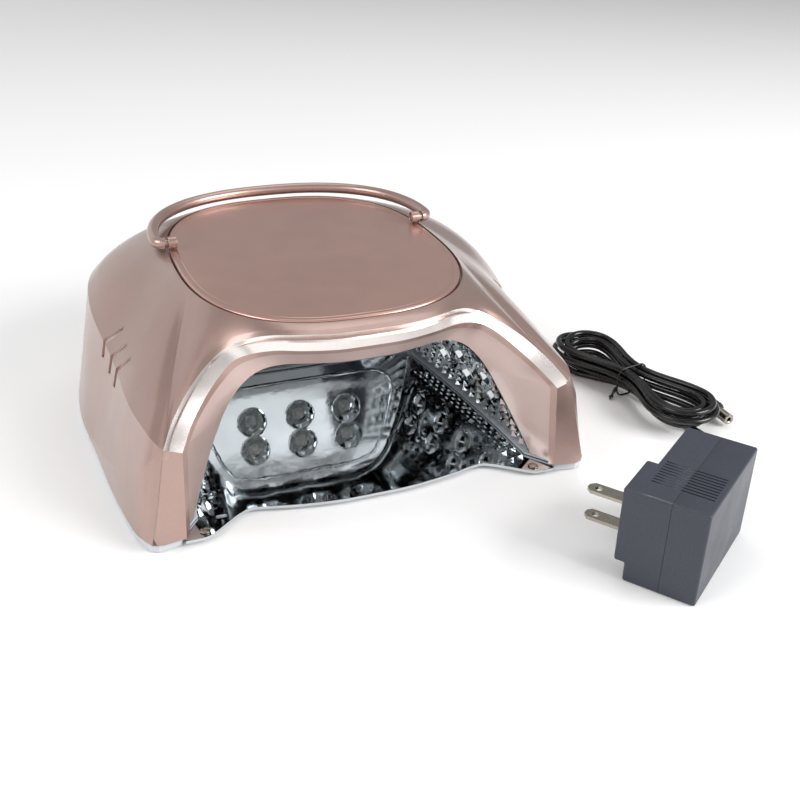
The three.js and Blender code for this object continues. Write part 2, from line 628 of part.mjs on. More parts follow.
// Short collar on the lid's rim that one pin of the handle turns in.
function handleSocket(side) {
  const outward = vec(side, 0, 0);
  const collar = rod(HANDLE.radius + 0.2, 4.2, vec(side * 60, HANDLE.pivotY, HANDLE.z), outward, 20);
  const bore = rod(HANDLE_PIN.radius + GAP, 6, vec(side * 59, HANDLE.pivotY, HANDLE.z), outward, 12);
  const lidTop = LID_SEAT_Z + GAP + LID_THICKNESS;
  const below = box(20, 20, 10, side * 60, HANDLE.pivotY, lidTop + GAP - 5);
  return cut(collar, below, bore);
}

// ---------- Rear control panel ----------

function controlPanel() {
  const body = uprightBlock(PANEL.width, PANEL.height, 4, 0, PANEL.z, PANEL.innerY, PANEL.outerY);
  const hole = (size, corner, x, z) => {
    const [width, height] = [size.width + 2 * GAP, size.height + 2 * GAP];
    return uprightBlock(width, height, corner, x, z, PANEL.innerY - 5, PANEL.outerY + 5);
  };
  const jackHole = rod(JACK.radius + GAP, 20, vec(JACK.x, PANEL.innerY - 5, PANEL.z), BACK, 16);
  const buttonHoles = BUTTON.x.map((x) => hole(BUTTON, 2.6, x, BUTTON.z));
  const windowHole = hole(WINDOW, 1, WINDOW.x, WINDOW.z);
  const switchHole = hole(SWITCH, 1, SWITCH.x, PANEL.z);
  return cut(body, windowHole, switchHole, jackHole, ...buttonHoles);
}

// Cap that passes through the panel, on a flange that keeps it in.
function timerButton(x) {
  const flangeBack = PANEL.innerY - GAP;
  const { width, height, z } = BUTTON;
  const flange = uprightBlock(width + 2.4, height + 2.4, 3.4, x, z, flangeBack - 1.2, flangeBack);
  const cap = uprightBlock(width, height, 2.3, x, z, flangeBack - 1, PANEL.outerY + 1.4);
  return join(flange, cap);
}

function switchHousing() {
  const { width, height, x } = SWITCH;
  const body = uprightBlock(width, height, 0.8, x, PANEL.z, 196.5, PANEL.outerY + 0.6);
  const hollow = uprightBlock(width - 2.4, height - 2.4, 0.3, x, PANEL.z, 198, PANEL.outerY + 5);
  return cut(body, hollow);
}

// Rocker pressed in at its top, so it stands tilted about the middle of the switch.
function powerRocker() {
  const length = SWITCH.height - 4.6;
  const half = length / 2;
  const side = flatShape([[-3, -half], [1.6, -half], [0.4, 0], [1.6, half], [-3, half]]);
  const width = SWITCH.width - 3.2;
  const turn = new THREE.Matrix4().makeBasis(vec(0, 1, 0), vec(0, 0, 1), vec(1, 0, 0));
  return new THREE.ExtrudeGeometry(side, { depth: width, bevelEnabled: false })
    .applyMatrix4(turn)
    .translate(-width / 2, 0, 0)
    .rotateX(rad(SWITCH.tilt))
    .translate(SWITCH.x, SWITCH.pivotY, PANEL.z);
}

function chargeJack() {
  const barrel = rod(JACK.radius, 14, vec(JACK.x, PANEL.outerY - 13.6, PANEL.z), BACK, 16);
  const bore = rod(2.9, 11, vec(JACK.x, PANEL.outerY - 10.6, PANEL.z), BACK, 16);
  const pin = rod(0.9, 11, vec(JACK.x, PANEL.outerY - 11.6, PANEL.z), BACK, 8);
  return join(cut(barrel, bore), pin);
}

// ---------- Power supply and its cord ----------

const CORD_LEAD = [
  [150.6, -39.9, 8.5], [155, -36.2, 7.4], [160, -30.6, 4.6], [164, -25, 2.6], [167.5, -18, 1.9],
  [169.8, -10.5, 1.9], [171.2, -3, 2.4], [171.8, 4.1, 3.6],
];
const CORD_TAIL = [
  [171.7, 70.4, 6.6], [176.3, 66, 5.6], [181, 63, 3.6], [185.5, 57.2, 2.4], [188.4, 49.4, 2.3],
  [189.2, 42.4, 3.4],
];

// Half of the supply's case: an open box whose mouth is the parting line. `side` is +1 on the plug side.
function supplyHalf(side) {
  const { length, thickness, height } = SUPPLY;
  const depth = thickness / 2 - GAP / 2;
  const middle = (side * thickness) / 4 + (side * GAP) / 4;
  const wall = 2;
  const outer = box(length, depth, height, 0, middle, height / 2);
  const inner = box(length - 2 * wall, depth, height - 2 * wall, 0, middle - side * wall, height / 2);
  return cut(outer, inner);
}

function supplyPlugHalf() {
  const pad = box(PLUG_PAD.length, PLUG_PAD.thickness + 0.5, PLUG_PAD.height,
    -SUPPLY.length / 2 + PLUG_PAD.length / 2,
    SUPPLY.thickness / 2 + PLUG_PAD.thickness / 2 - 0.25,
    SUPPLY.height - PLUG_PAD.height / 2);
  return join(supplyHalf(1), pad);
}

const BLADE = { width: 6.35, thickness: 1.5, length: 18.5, spacing: 12.7 };

function plugBlade(level) {
  const shape = new THREE.Shape();
  const w = BLADE.width / 2;
  shape.moveTo(-w, 0);
  shape.lineTo(w, 0);
  shape.lineTo(w, BLADE.length - 2);
  shape.lineTo(w - 2, BLADE.length);
  shape.lineTo(-w + 2, BLADE.length);
  shape.lineTo(-w, BLADE.length - 2);
  const hole = new THREE.Path();
  hole.absarc(0, BLADE.length - 4.5, 1.6, 0, 2 * Math.PI, true);
  shape.holes.push(hole);
  const bottomZ = PLUG_PAD.bladeZ + level * BLADE.spacing - BLADE.thickness / 2;
  const rootY = SUPPLY.thickness / 2 + PLUG_PAD.thickness + GAP;
  return plate(shape, bottomZ, bottomZ + BLADE.thickness).translate(PLUG_PAD.bladeX, rootY, 0);
}

// Tapered sleeve where the cord leaves the end of the supply.
function strainRelief() {
  const profile = [[0, 0], [3.6, 0], [3.6, 4], [2.9, 8], [2.3, 24], [0, 24]];
  return new THREE.LatheGeometry(profile.map(([r, h]) => new THREE.Vector2(r, h)), 12)
    .rotateZ(rad(-90))
    .translate(SUPPLY.length / 2 + GAP, 0, STRAIN_Z);
}

// Folded bundle of cord: two round lobes drawn in at the tie. Local x runs along the bundle.
function cordHank() {
  const { halfLength, radius, waist } = HANK;
  const end = halfLength - radius;
  const shape = new THREE.Shape();
  shape.absarc(end, 0, radius, rad(-90), rad(90));
  shape.bezierCurveTo(end - 14, radius, 16, waist, 0, waist);
  shape.bezierCurveTo(-16, waist, -end + 14, radius, -end, radius);
  shape.absarc(-end, 0, radius, rad(90), rad(270));
  shape.bezierCurveTo(-end + 14, -radius, -16, -waist, 0, -waist);
  shape.bezierCurveTo(16, -waist, end - 14, -radius, end, -radius);
  return plate(shape, HANK.bottomZ, HANK.topZ);
}

function cordTie() {
  const clear = 0.4;
  const band = 1.2;
  const innerWidth = 2 * (HANK.waist + clear);
  const innerHeight = HANK.topZ - HANK.bottomZ + 2 * clear;
  const middleZ = (HANK.topZ + HANK.bottomZ) / 2;
  const outer = uprightBlock(innerWidth + 2 * band, innerHeight + 2 * band, 2.5, 0, middleZ, -1.1, 1.1);
  const inner = uprightBlock(innerWidth, innerHeight, 0.8, 0, middleZ, -5, 5);
  return cut(outer, inner).rotateZ(rad(90));
}

function connectorGrip() {
  const profile = [[0, 0], [2.3, 0], [3, 6], [4.3, 10], [4.3, 22], [0, 22]];
  return new THREE.LatheGeometry(profile.map(([r, h]) => new THREE.Vector2(r, h)), 12)
    .rotateX(rad(180))
    .translate(CONNECTOR.x, CONNECTOR.y, CONNECTOR.z);
}

function connectorBarrel() {
  const start = vec(CONNECTOR.x, CONNECTOR.y - 22 - GAP, CONNECTOR.z);
  const forward = vec(0, -1, 0);
  const bore = rod(1.1, 9, start.clone().add(vec(0, -1, 0)), forward, 8);
  return cut(rod(2.75, 9.5, start, forward, 12), bore);
}

// ---------- Assembly ----------

function piece(name, geometry, look, parent) {
  const mesh = new THREE.Mesh(geometry, new THREE.MeshStandardMaterial(look));
  mesh.name = name;
  parent.add(mesh);
  return mesh;
}

const lamp = new THREE.Group();
lamp.position.y = -DEPTH / 2;

piece("outer_cover", outerCover(), ROSE_GOLD, lamp);
piece("top_lid", topLid(), ROSE_SATIN, lamp);
piece("arch_lining", archLining(), ROSE_SATIN, lamp);

const boards = ledBoards();
piece("inner_reflector", innerReflector(boards), CHROME, lamp);
for (const [place, board] of Object.entries(boards)) {
  piece(`led_board_${place}`, ledBoard(board), BOARD_WHITE, lamp);
}
for (const [i, side] of ["right", "left"].entries()) {
  const lens = rod(SENSOR.radius, 6, vec(SENSOR.x[i], SENSOR.y, 63.4), UP, 10);
  piece(`presence_sensor_${side}`, lens, GLOSS_BLACK, lamp);
}

piece("base_frame", baseFrame(), WHITE_PLASTIC, lamp);
piece("mirror_tray", mirrorTray(), MIRROR, lamp);
for (const [i, side] of ["right", "left"].entries()) {
  piece(`tray_rivet_${side}`, trayRivet(RIVET.x[i]), NICKEL, lamp);
}
FOOT_SPOTS.forEach((spot, i) => piece(`rubber_foot_${i + 1}`, rubberFoot(spot), BLACK_RUBBER, lamp));
SCREW_SPOTS.forEach((spot, i) => piece(`base_screw_${i + 1}`, baseScrew(spot), NICKEL, lamp));

piece("carry_handle", carryHandle(), ROSE_GOLD, lamp);
piece("handle_socket_right", handleSocket(1), ROSE_GOLD, lamp);
piece("handle_socket_left", handleSocket(-1), ROSE_GOLD, lamp);

piece("control_panel", controlPanel(), GLOSS_BLACK, lamp);
const windowBlock = [WINDOW.width, WINDOW.height, 0.8, WINDOW.x, WINDOW.z];
piece("display_window", uprightBlock(...windowBlock, PANEL.outerY - 1.6, PANEL.outerY), GLOSS_BLACK, lamp);
piece("timer_display", box(26, 3.6, 9.5, WINDOW.x, 201.2, WINDOW.z), BOARD_WHITE, lamp);
for (const [i, x] of BUTTON.x.entries()) {
  piece(`timer_button_${i + 1}`, timerButton(x), ROSE_SATIN, lamp);
}
piece("switch_housing", switchHousing(), DARK_PLASTIC, lamp);
piece("power_rocker", powerRocker(), GLOSS_BLACK, lamp);
piece("charge_jack", chargeJack(), DARK_PLASTIC, lamp);
piece("control_board", box(44, 1.6, 26, 17, BOARD_FRONT_Y - 0.8, 40), BOARD_GREEN, lamp);
const cells = uprightBlock(37, 18.4, 9.1, 0, 0, -34, 34).rotateZ(rad(90)).translate(0, 168.5, 14.3);
piece("battery_pack", cells, CELL_BLUE, lamp);
piece("battery_lead", tube(BATTERY_LEAD, 1.2, 12, 8), BLACK_RUBBER, lamp);
piece("led_lead", tube(LED_LEAD, 1.2, 14, 8), BLACK_RUBBER, lamp);

const supply = new THREE.Group();
supply.position.set(SUPPLY.x, SUPPLY.y, 0);
supply.rotation.z = rad(SUPPLY.turn);
lamp.add(supply);
piece("supply_plug_half", supplyPlugHalf(), DARK_PLASTIC, supply);
piece("supply_back_half", supplyHalf(-1), DARK_PLASTIC, supply);
piece("supply_circuit", box(48, 18, 30, 0, 0, SUPPLY.height / 2), BOARD_GREEN, supply);
piece("plug_blade_upper", plugBlade(0.5), NICKEL, supply);
piece("plug_blade_lower", plugBlade(-0.5), NICKEL, supply);
piece("cord_strain_relief", strainRelief(), BLACK_RUBBER, supply);

piece("cord_lead", tube(CORD_LEAD, CORD_RADIUS, 10, 8), BLACK_RUBBER, lamp);
piece("cord_tail", tube(CORD_TAIL, CORD_RADIUS, 7, 8), BLACK_RUBBER, lamp);
const bundle = new THREE.Group();
bundle.position.set(HANK.x, HANK.y, 0);
bundle.rotation.z = rad(HANK.turn);
lamp.add(bundle);
piece("cord_hank", cordHank(), BLACK_RUBBER, bundle);
piece("cord_tie", cordTie(), BLACK_RUBBER, bundle);
piece("connector_grip", connectorGrip(), BLACK_RUBBER, lamp);
piece("connector_barrel", connectorBarrel(), NICKEL, lamp);

const nailLamp = new THREE.Group();
nailLamp.add(lamp);
export default nailLamp;
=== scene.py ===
"""Looks of a UV LED nail lamp: mirror tray, carry handle, and plug-in supply with a tied hank of cord.

Shapes are drawn in millimetres in the lamp's own frame, with y counted back from the front feet,
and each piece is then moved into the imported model's frame, in metres.
"""
import math

import bmesh
import bpy
from mathutils import Matrix, Quaternion, Vector


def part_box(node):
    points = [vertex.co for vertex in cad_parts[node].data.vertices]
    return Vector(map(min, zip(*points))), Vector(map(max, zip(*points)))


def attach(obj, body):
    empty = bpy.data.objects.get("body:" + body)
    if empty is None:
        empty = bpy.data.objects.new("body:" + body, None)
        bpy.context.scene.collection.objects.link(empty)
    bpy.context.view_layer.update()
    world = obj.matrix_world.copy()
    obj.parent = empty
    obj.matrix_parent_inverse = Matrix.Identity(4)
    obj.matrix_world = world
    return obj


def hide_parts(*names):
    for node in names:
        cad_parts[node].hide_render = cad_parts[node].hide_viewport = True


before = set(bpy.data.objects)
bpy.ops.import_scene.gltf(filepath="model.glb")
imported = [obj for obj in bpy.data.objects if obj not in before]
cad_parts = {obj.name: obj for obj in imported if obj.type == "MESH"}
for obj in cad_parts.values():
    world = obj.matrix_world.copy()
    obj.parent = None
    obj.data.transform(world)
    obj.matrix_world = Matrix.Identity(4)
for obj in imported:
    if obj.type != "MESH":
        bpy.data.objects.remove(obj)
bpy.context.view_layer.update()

scene = bpy.context.scene

# ---------- Driving dimensions, millimetres ----------

DEPTH = 208
GAP = 0.35
COVER_WALL = 2.2
FOOT_Z = 5
RIDGE_BULGE = 2.4
LID_HALF_WIDTH = 65.5
LID_HALF_DEPTH = 84
LID_CENTRE_Y = 104
LID_ROUNDNESS = 2.6
LID_RIM_Z = 83.5
LID_SEAT_Z = 80.3
LID_SEAT_WIDTH = 5
LID_GROOVE = 1.1
LID_TOP_Z = 84.05
LINING_WALL = 1.8
REFLECTOR_WALL = 1.4
BACK_FOOT_Y = 140
BACK_LEAN = 0.31
SIDE_BOARD_S = 1.42
CUP_DEPTH = 5
CUP_FLOOR = 3.3
CUP_WALL = 0.9
LED_STANDOFF = 5.6
BOARD_THICKNESS = 1.6
LED_CASE_HEIGHT = 1.1
SENSOR_X = (18, -18)
SENSOR_Y = 34.5
SENSOR_Z = 63.4
SENSOR_RADIUS = 2.2
TRAY_BOTTOM = 1.85
TRAY_TOP = 3.35
TRAY_CORNER_X = 85.4
TRAY_CORNER_Y = 14
TRAY_EASE = 0.008  # share of its half width by which the tray's rear curve is drawn in
RIVET_X = 76.5
RIVET_Y = 5.2
HANDLE_HALF_WIDTH = 69.5
HANDLE_PIVOT_Y = 124
HANDLE_BACK_Y = 191
HANDLE_Z = 87.2
HANDLE_RADIUS = 2.8
HANDLE_ROUNDNESS = 2.3
HANDLE_CORNER = 4  # how far behind its pivots the handle's bow begins
PANEL_WIDTH = 84
PANEL_HEIGHT = 30
PANEL_Z = 39
SUPPLY_X = 106.4
SUPPLY_Y = -72.2
SUPPLY_TURN = 36.2
SUPPLY_LENGTH = 60
SUPPLY_THICKNESS = 30
SUPPLY_HEIGHT = 42.5
SEAM_SHARE = 0.4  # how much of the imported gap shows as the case's parting line
CORD_RADIUS = 1.6


def on_table(x, y, turn):
    return Matrix.Translation((x, y, 0)) @ Matrix.Rotation(math.radians(turn), 4, "Z")


LAMP = Matrix.Diagonal((0.001, 0.001, 0.001, 1)) @ Matrix.Translation((0, -DEPTH / 2, 0))
SUPPLY = LAMP @ on_table(SUPPLY_X, SUPPLY_Y, SUPPLY_TURN)
HANK = on_table(162, 58, -79.6)

# ---------- Camera ----------


def add_camera():
    data = bpy.data.cameras.new("camera")
    data.lens = 46.2
    camera = bpy.data.objects.new("camera", data)
    scene.collection.objects.link(camera)
    camera.location = (-0.1295, -0.4524, 0.2586)
    towards = Vector((0.0125, -0.0912, 0.046)) - camera.location
    roll = Quaternion((0, 0, 1), math.radians(1.186))
    camera.rotation_mode = "QUATERNION"
    camera.rotation_quaternion = towards.to_track_quat("-Z", "Y") @ roll
    scene.camera = camera


add_camera()

# ---------- Numbers and curves ----------


def lerp(a, b, t):
    return a + (b - a) * t


def smoothstep(x, low, high):
    t = min(max((x - low) / (high - low), 0), 1)
    return t * t * (3 - 2 * t)


def steps(count):
    return [i / count for i in range(count + 1)]


def arc(*degrees):
    """Cosine and sine of each angle."""
    return [(math.cos(math.radians(d)), math.sin(math.radians(d))) for d in degrees]


def squarish(value, roundness):
    """Cosine or sine on a superellipse: 2 gives an ellipse, and more is squarer."""
    return math.copysign(abs(value) ** (2 / roundness), value)


def through(points):
    """Smooth curve through points; t from 0 to 1 runs evenly from point to point."""
    points = [Vector(p) for p in points]

    def at(t):
        spans = len(points) - 1
        i = min(int(t * spans), spans - 1)
        w = t * spans - i
        start, end = points[i], points[i + 1]
        before = points[i - 1] if i > 0 else 2 * start - end
        after = points[i + 2] if i + 2 <= spans else 2 * end - start
        leave, arrive = (end - before) / 2, (after - start) / 2
        bend = 2 * start - 2 * end + leave + arrive
        ease = 3 * end - 3 * start - 2 * leave - arrive
        return start + w * (leave + w * (ease + w * bend))

    return at


def mirror(p):
    return Vector((-p.x, p.y, p.z))


def both_sides(grids):
    return grids + [[[mirror(p) for p in reversed(row)] for row in grid] for grid in grids]


# ---------- Meshes ----------


def mesh_of(bm, name="shape"):
    mesh = bpy.data.meshes.new(name)
    bm.to_mesh(mesh)
    bm.free()
    return mesh


def closed_mesh(bm):
    bmesh.ops.recalc_face_normals(bm, faces=bm.faces)
    return mesh_of(bm)


def opened(mesh):
    bm = bmesh.new()
    bm.from_mesh(mesh)
    return bm


def band(bm, low, high):
    """Faces between two rings of equally many points."""
    for i in range(len(low)):
        j = (i + 1) % len(low)
        bm.faces.new((low[i], low[j], high[j], high[i]))


def evaluated(obj):
    """Mesh of an object with its modifiers applied."""
    graph = bpy.context.evaluated_depsgraph_get()
    return bpy.data.meshes.new_from_object(obj.evaluated_get(graph))


def modified(mesh, *modifiers):
    """A new mesh after modifiers, each given as (kind, settings)."""
    obj = bpy.data.objects.new("work", mesh)
    scene.collection.objects.link(obj)
    for kind, settings in modifiers:
        modifier = obj.modifiers.new(kind, kind)
        for key, value in settings.items():
            setattr(modifier, key, value)
    result = evaluated(obj)
    bpy.data.objects.remove(obj)
    return result


def cut(mesh, *cutters):
    """The mesh with closed cutter meshes taken out of it."""
    for cutter in cutters:
        tool = bpy.data.objects.new("cutter", cutter)
        scene.collection.objects.link(tool)
        settings = {"operation": "DIFFERENCE", "object": tool, "solver": "EXACT"}
        mesh = modified(mesh, ("BOOLEAN", settings))
        bpy.data.objects.remove(tool)
    return mesh


def joined(meshes):
    """One mesh that holds several, with their materials kept apart by index."""
    bm = bmesh.new()
    for mesh in meshes:
        bm.from_mesh(mesh)
    return mesh_of(bm)


def patch_mesh(patches, facing):
    """Open surface of welded patches, each a material index and its grids, with creases where patches meet.

    The faces are turned the way `facing` says."""
    bm = bmesh.new()
    patch_of = bm.faces.layers.int.new("patch")
    for number, (material_index, grids) in enumerate(patches):
        for grid in grids:
            rows = [[bm.verts.new(p) for p in row] for row in grid]
            for upper, lower in zip(rows, rows[1:]):
                for j in range(len(upper) - 1):
                    face = bm.faces.new((upper[j], upper[j + 1], lower[j + 1], lower[j]))
                    face.material_index = material_index
                    face[patch_of] = number
    bmesh.ops.remove_doubles(bm, verts=bm.verts, dist=0.02)
    bm.normal_update()
    crease = bm.edges.layers.float.new("bevel_weight_edge")
    for edge in bm.edges:
        if len({face[patch_of] for face in edge.link_faces}) > 1:
            edge[crease] = 1.0
    agreement = sum(f.normal.dot(facing(f.calc_center_median())) * f.calc_area() for f in bm.faces)
    if agreement < 0:
        bmesh.ops.reverse_faces(bm, faces=bm.faces)
    return mesh_of(bm)


def thickened(mesh, wall, round_off, offset=-1):
    """Closed sheet behind an open surface, with its creases rounded."""
    return modified(
        mesh,
        ("SOLIDIFY", {"thickness": wall, "offset": offset, "use_rim": True}),
        ("BEVEL", {"width": round_off, "segments": 3, "limit_method": "WEIGHT"}),
    )


def lathe(profile, sides=40, at=(0, 0, 0), axis=(0, 0, 1)):
    """Round solid from a closed profile of (radius, height) that starts and ends on the axis."""
    bm = bmesh.new()
    rings = []
    for radius, height in profile:
        if radius < 1e-6:
            rings.append([bm.verts.new((0, 0, height))])
            continue
        angles = [2 * math.pi * i / sides for i in range(sides)]
        rings.append([bm.verts.new((radius * math.cos(a), radius * math.sin(a), height)) for a in angles])
    for low, high in zip(rings, rings[1:]):
        for i in range(sides):
            j = i + 1
            corners = [low[i % len(low)], low[j % len(low)], high[j % len(high)], high[i % len(high)]]
            unique = list(dict.fromkeys(corners))
            if len(unique) > 2:
                bm.faces.new(unique)
    mesh = closed_mesh(bm)
    turn = Vector(axis).to_track_quat("Z", "Y").to_matrix().to_4x4()
    mesh.transform(Matrix.Translation(at) @ turn)
    return mesh


def drill(radius, low, high, x, y, sides=24):
    """Upright round cutter."""
    return lathe([(0, low), (radius, low), (radius, high), (0, high)], sides, (x, y, 0))


def prism(outline, low, high, to_world=Matrix.Identity(4)):
    """Solid of a flat outline, from low to high along its normal."""
    bm = bmesh.new()
    bottom = [bm.verts.new((x, y, low)) for x, y in outline]
    top = [bm.verts.new((x, y, high)) for x, y in outline]
    bm.faces.new(list(reversed(bottom)))
    bm.faces.new(top)
    band(bm, bottom, top)
    mesh = closed_mesh(bm)
    mesh.transform(to_world)
    return mesh


def block(width, depth, height, x, y, z):
    """Box by its size and middle."""
    w, d = width / 2, depth / 2
    outline = [(x - w, y - d), (x + w, y - d), (x + w, y + d), (x - w, y + d)]
    return prism(outline, z - height / 2, z + height / 2)


def rounded_rectangle(width, height, corner, per_corner=8):
    points = []
    for quarter, (sx, sy) in enumerate([(1, 1), (-1, 1), (-1, -1), (1, -1)]):
        for t in steps(per_corner):
            angle = math.radians(90 * (quarter + t))
            x = sx * (width / 2 - corner) + corner * math.cos(angle)
            y = sy * (height / 2 - corner) + corner * math.sin(angle)
            points.append((x, y))
    return points


def upright(width, height, corner, x, z, front, back):
    """Rounded block that stands in the XZ plane, from y = front to y = back."""
    to_world = Matrix.Translation((x, 0, z)) @ Matrix.Rotation(math.radians(90), 4, "X")
    return prism(rounded_rectangle(width, height, corner), -back, -front, to_world)


def curve_of(points, radius, resolution):
    data = bpy.data.curves.new("bar", "CURVE")
    data.dimensions = "3D"
    data.bevel_depth = radius
    data.bevel_resolution = resolution
    data.use_fill_caps = True
    spline = data.splines.new("POLY")
    spline.points.add(len(points) - 1)
    for point, place in zip(spline.points, points):
        point.co = (*place, 1)
    return data


def swept(points, radius, resolution=5):
    """Round bar along close points."""
    obj = bpy.data.objects.new("work", curve_of(points, radius, resolution))
    scene.collection.objects.link(obj)
    mesh = evaluated(obj)
    bpy.data.objects.remove(obj)
    bm = opened(mesh)
    bmesh.ops.remove_doubles(bm, verts=bm.verts, dist=0.001)
    return mesh_of(bm)


def softened(mesh, width, segments=3, keep=lambda edge: False):
    """The mesh with its sharp edges rounded, apart from those that `keep` picks."""
    bm = opened(mesh)
    bmesh.ops.remove_doubles(bm, verts=bm.verts, dist=0.002)
    bmesh.ops.dissolve_limit(bm, angle_limit=math.radians(1), verts=bm.verts, edges=bm.edges)
    sharp = [e for e in bm.edges if len(e.link_faces) == 2
             and e.calc_face_angle(0) > math.radians(32) and not keep(e)]
    bmesh.ops.bevel(bm, geom=sharp, offset=width, segments=segments, profile=0.5,
                    affect="EDGES", clamp_overlap=True)
    return mesh_of(bm)


def cad_mesh(node, to_frame=LAMP):
    """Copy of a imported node's mesh, in millimetres in the frame it is drawn in."""
    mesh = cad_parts[node].data.copy()
    mesh.transform(to_frame.inverted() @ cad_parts[node].matrix_world)
    return mesh


def add_piece(name, mesh, looks, replaces=(), body="lamp", to_frame=LAMP, sharp=34):
    """Puts a finished mesh into the model as a named piece that rides on a body."""
    mesh.transform(to_frame)
    mesh.shade_smooth()
    mesh.set_sharp_from_angle(angle=math.radians(sharp))
    mesh = modified(mesh, ("WEIGHTED_NORMAL", {"keep_sharp": True}))
    painted = [face.material_index for face in mesh.polygons]
    mesh.materials.clear()
    for look in looks if isinstance(looks, (list, tuple)) else [looks]:
        mesh.materials.append(look)
    mesh.polygons.foreach_set("material_index", painted)
    obj = bpy.data.objects.new(name, mesh)
    scene.collection.objects.link(obj)
    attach(obj, body)
    if replaces:
        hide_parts(*replaces)
    return obj


# ---------- Materials ----------


def srgb(code):
    """Linear colour of a #rrggbb code."""
    parts = [int(code[i:i + 2], 16) / 255 for i in (1, 3, 5)]
    return [c / 12.92 if c <= 0.04045 else ((c + 0.055) / 1.055) ** 2.4 for c in parts]


def noise(nodes, links, place, scale, detail=2.0):
    texture = nodes.new("ShaderNodeTexNoise")
    texture.inputs["Scale"].default_value = scale
    texture.inputs["Detail"].default_value = detail
    links.new(place.outputs["Object"], texture.inputs["Vector"])
    return texture


def stretched(nodes, links, texture, share, low, high):
    """Noise between `share` and 1 - `share`, stretched to run from low to high."""
    node = nodes.new("ShaderNodeMapRange")
    ends = (("From Min", share), ("From Max", 1 - share), ("To Min", low), ("To Max", high))
    for end, value in ends:
        node.inputs[end].default_value = value
    links.new(texture.outputs["Fac"], node.inputs["Value"])
    return node.outputs["Result"]


def material(name, colour, roughness, metallic=0.0, tint=0.06, tint_scale=45, gloss=0.04, gloss_scale=70,
             bump=0.0, bump_scale=2500, bump_depth=0.00005, fleck=0.0, fleck_scale=3200, sockets=()):
    """Surface whose colour, roughness and relief vary with noise. Scales are per metre.

    tint is how far the colour drifts, fleck how far fine grains lighten or darken it."""
    made = bpy.data.materials.new(name)
    made.use_nodes = True
    nodes, links = made.node_tree.nodes, made.node_tree.links
    shader = nodes["Principled BSDF"]
    shader.inputs["Metallic"].default_value = metallic
    for socket, value in sockets:
        shader.inputs[socket].default_value = value
    place = nodes.new("ShaderNodeTexCoord")
    base = srgb(colour)

    drift = nodes.new("ShaderNodeValToRGB")
    for end, position, share in zip(drift.color_ramp.elements, (0.3, 0.7), (1 - tint, 1 + tint)):
        end.position = position
        end.color = (*[min(c * share, 1) for c in base], 1)
    links.new(noise(nodes, links, place, tint_scale).outputs["Fac"], drift.inputs["Fac"])
    if fleck:
        grains = noise(nodes, links, place, fleck_scale)
        scaled = nodes.new("ShaderNodeVectorMath")
        scaled.operation = "SCALE"
        links.new(drift.outputs["Color"], scaled.inputs[0])
        links.new(stretched(nodes, links, grains, 0.35, 1 - fleck, 1 + fleck), scaled.inputs["Scale"])
        links.new(scaled.outputs["Vector"], shader.inputs["Base Color"])
    else:
        links.new(drift.outputs["Color"], shader.inputs["Base Color"])

    polish = noise(nodes, links, place, gloss_scale, 4)
    links.new(stretched(nodes, links, polish, 0.3, max(roughness - gloss, 0.01), roughness + gloss),
              shader.inputs["Roughness"])
    if bump:
        relief = nodes.new("ShaderNodeBump")
        relief.inputs["Strength"].default_value = bump
        relief.inputs["Distance"].default_value = bump_depth
        links.new(noise(nodes, links, place, bump_scale, 3).outputs["Fac"], relief.inputs["Height"])
        links.new(relief.outputs["Normal"], shader.inputs["Normal"])
    return made


COAT = (("Coat Weight", 0.6), ("Coat Roughness", 0.08))
ROSE_SHELL = material("rose_gold_shell", "#b0948b", 0.36, 0.8, tint=0.03, fleck=0.05, gloss=0.03,
                      bump=0.12, bump_scale=900, sockets=COAT)
# Near-white copy of the rose gold that paints highlight onto the bevel over the arch and the chevrons'
# floors; the bevel is also paler than the shell in its own right.
ROSE_PAINTED_HIGHLIGHT = material("rose_gold_satin", "#f0e8e4", 0.3, 0.85, tint=0.03, fleck=0.06, gloss=0.05,
                      bump=0.15, bump_scale=1500, sockets=COAT)
LID_PAINT = material("lid_paint", "#c8a094", 0.32, 0.8, tint=0.04, tint_scale=14, fleck=0.05, gloss=0.04,
                     bump=0.1, bump_scale=2500, sockets=COAT)
KEY_PAINT = material("key_paint", "#c4a9a1", 0.3, 0.85, tint=0.03, fleck=0.05, gloss=0.04,
                     bump=0.1, bump_scale=1500, sockets=COAT)
LINING_PAINT = material("lining_paint", "#cbb3ac", 0.4, 0.55, tint=0.03, fleck=0.04, gloss=0.04,
                        bump=0.1, bump_scale=1100, sockets=COAT)
CHROME = material("chromed_reflector", "#e0e3e5", 0.07, 1.0, tint=0.05, gloss=0.04, gloss_scale=150,
                  bump=0.2, bump_scale=70, bump_depth=0.0003)
MIRROR = material("mirror_tray", "#d2d7da", 0.04, 1.0, tint=0.04, gloss=0.02, gloss_scale=120,
                  bump=0.15, bump_scale=60, bump_depth=0.0004)
WHITE = material("white_plastic", "#c8ccd2", 0.38, tint=0.015, gloss=0.05, bump=0.12, bump_scale=1600)
BOARD_WHITE = material("led_board", "#dfe2dc", 0.45, tint=0.03, gloss=0.06, bump=0.1, bump_scale=1200)
DOME = material("led_dome", "#cfcfc2", 0.12, tint=0.06, tint_scale=400, gloss=0.05, gloss_scale=500,
                sockets=(("Coat Weight", 1.0), ("Coat Roughness", 0.03), ("Subsurface Weight", 0.3),
                         ("Subsurface Scale", 0.001)))
GLOSS_BLACK = material("gloss_black", "#121316", 0.12, tint=0.1, gloss=0.04, bump=0.06, bump_scale=500)
DARK = material("dark_plastic", "#363a45", 0.4, tint=0.05, fleck=0.12, fleck_scale=1800, gloss=0.05,
                bump=0.5, bump_scale=2100, bump_depth=0.00008)
GREEN = material("circuit_board", "#1f5a3a", 0.42, tint=0.15, tint_scale=300, gloss=0.1, gloss_scale=260,
                 bump=0.4, bump_scale=420, bump_depth=0.0003)
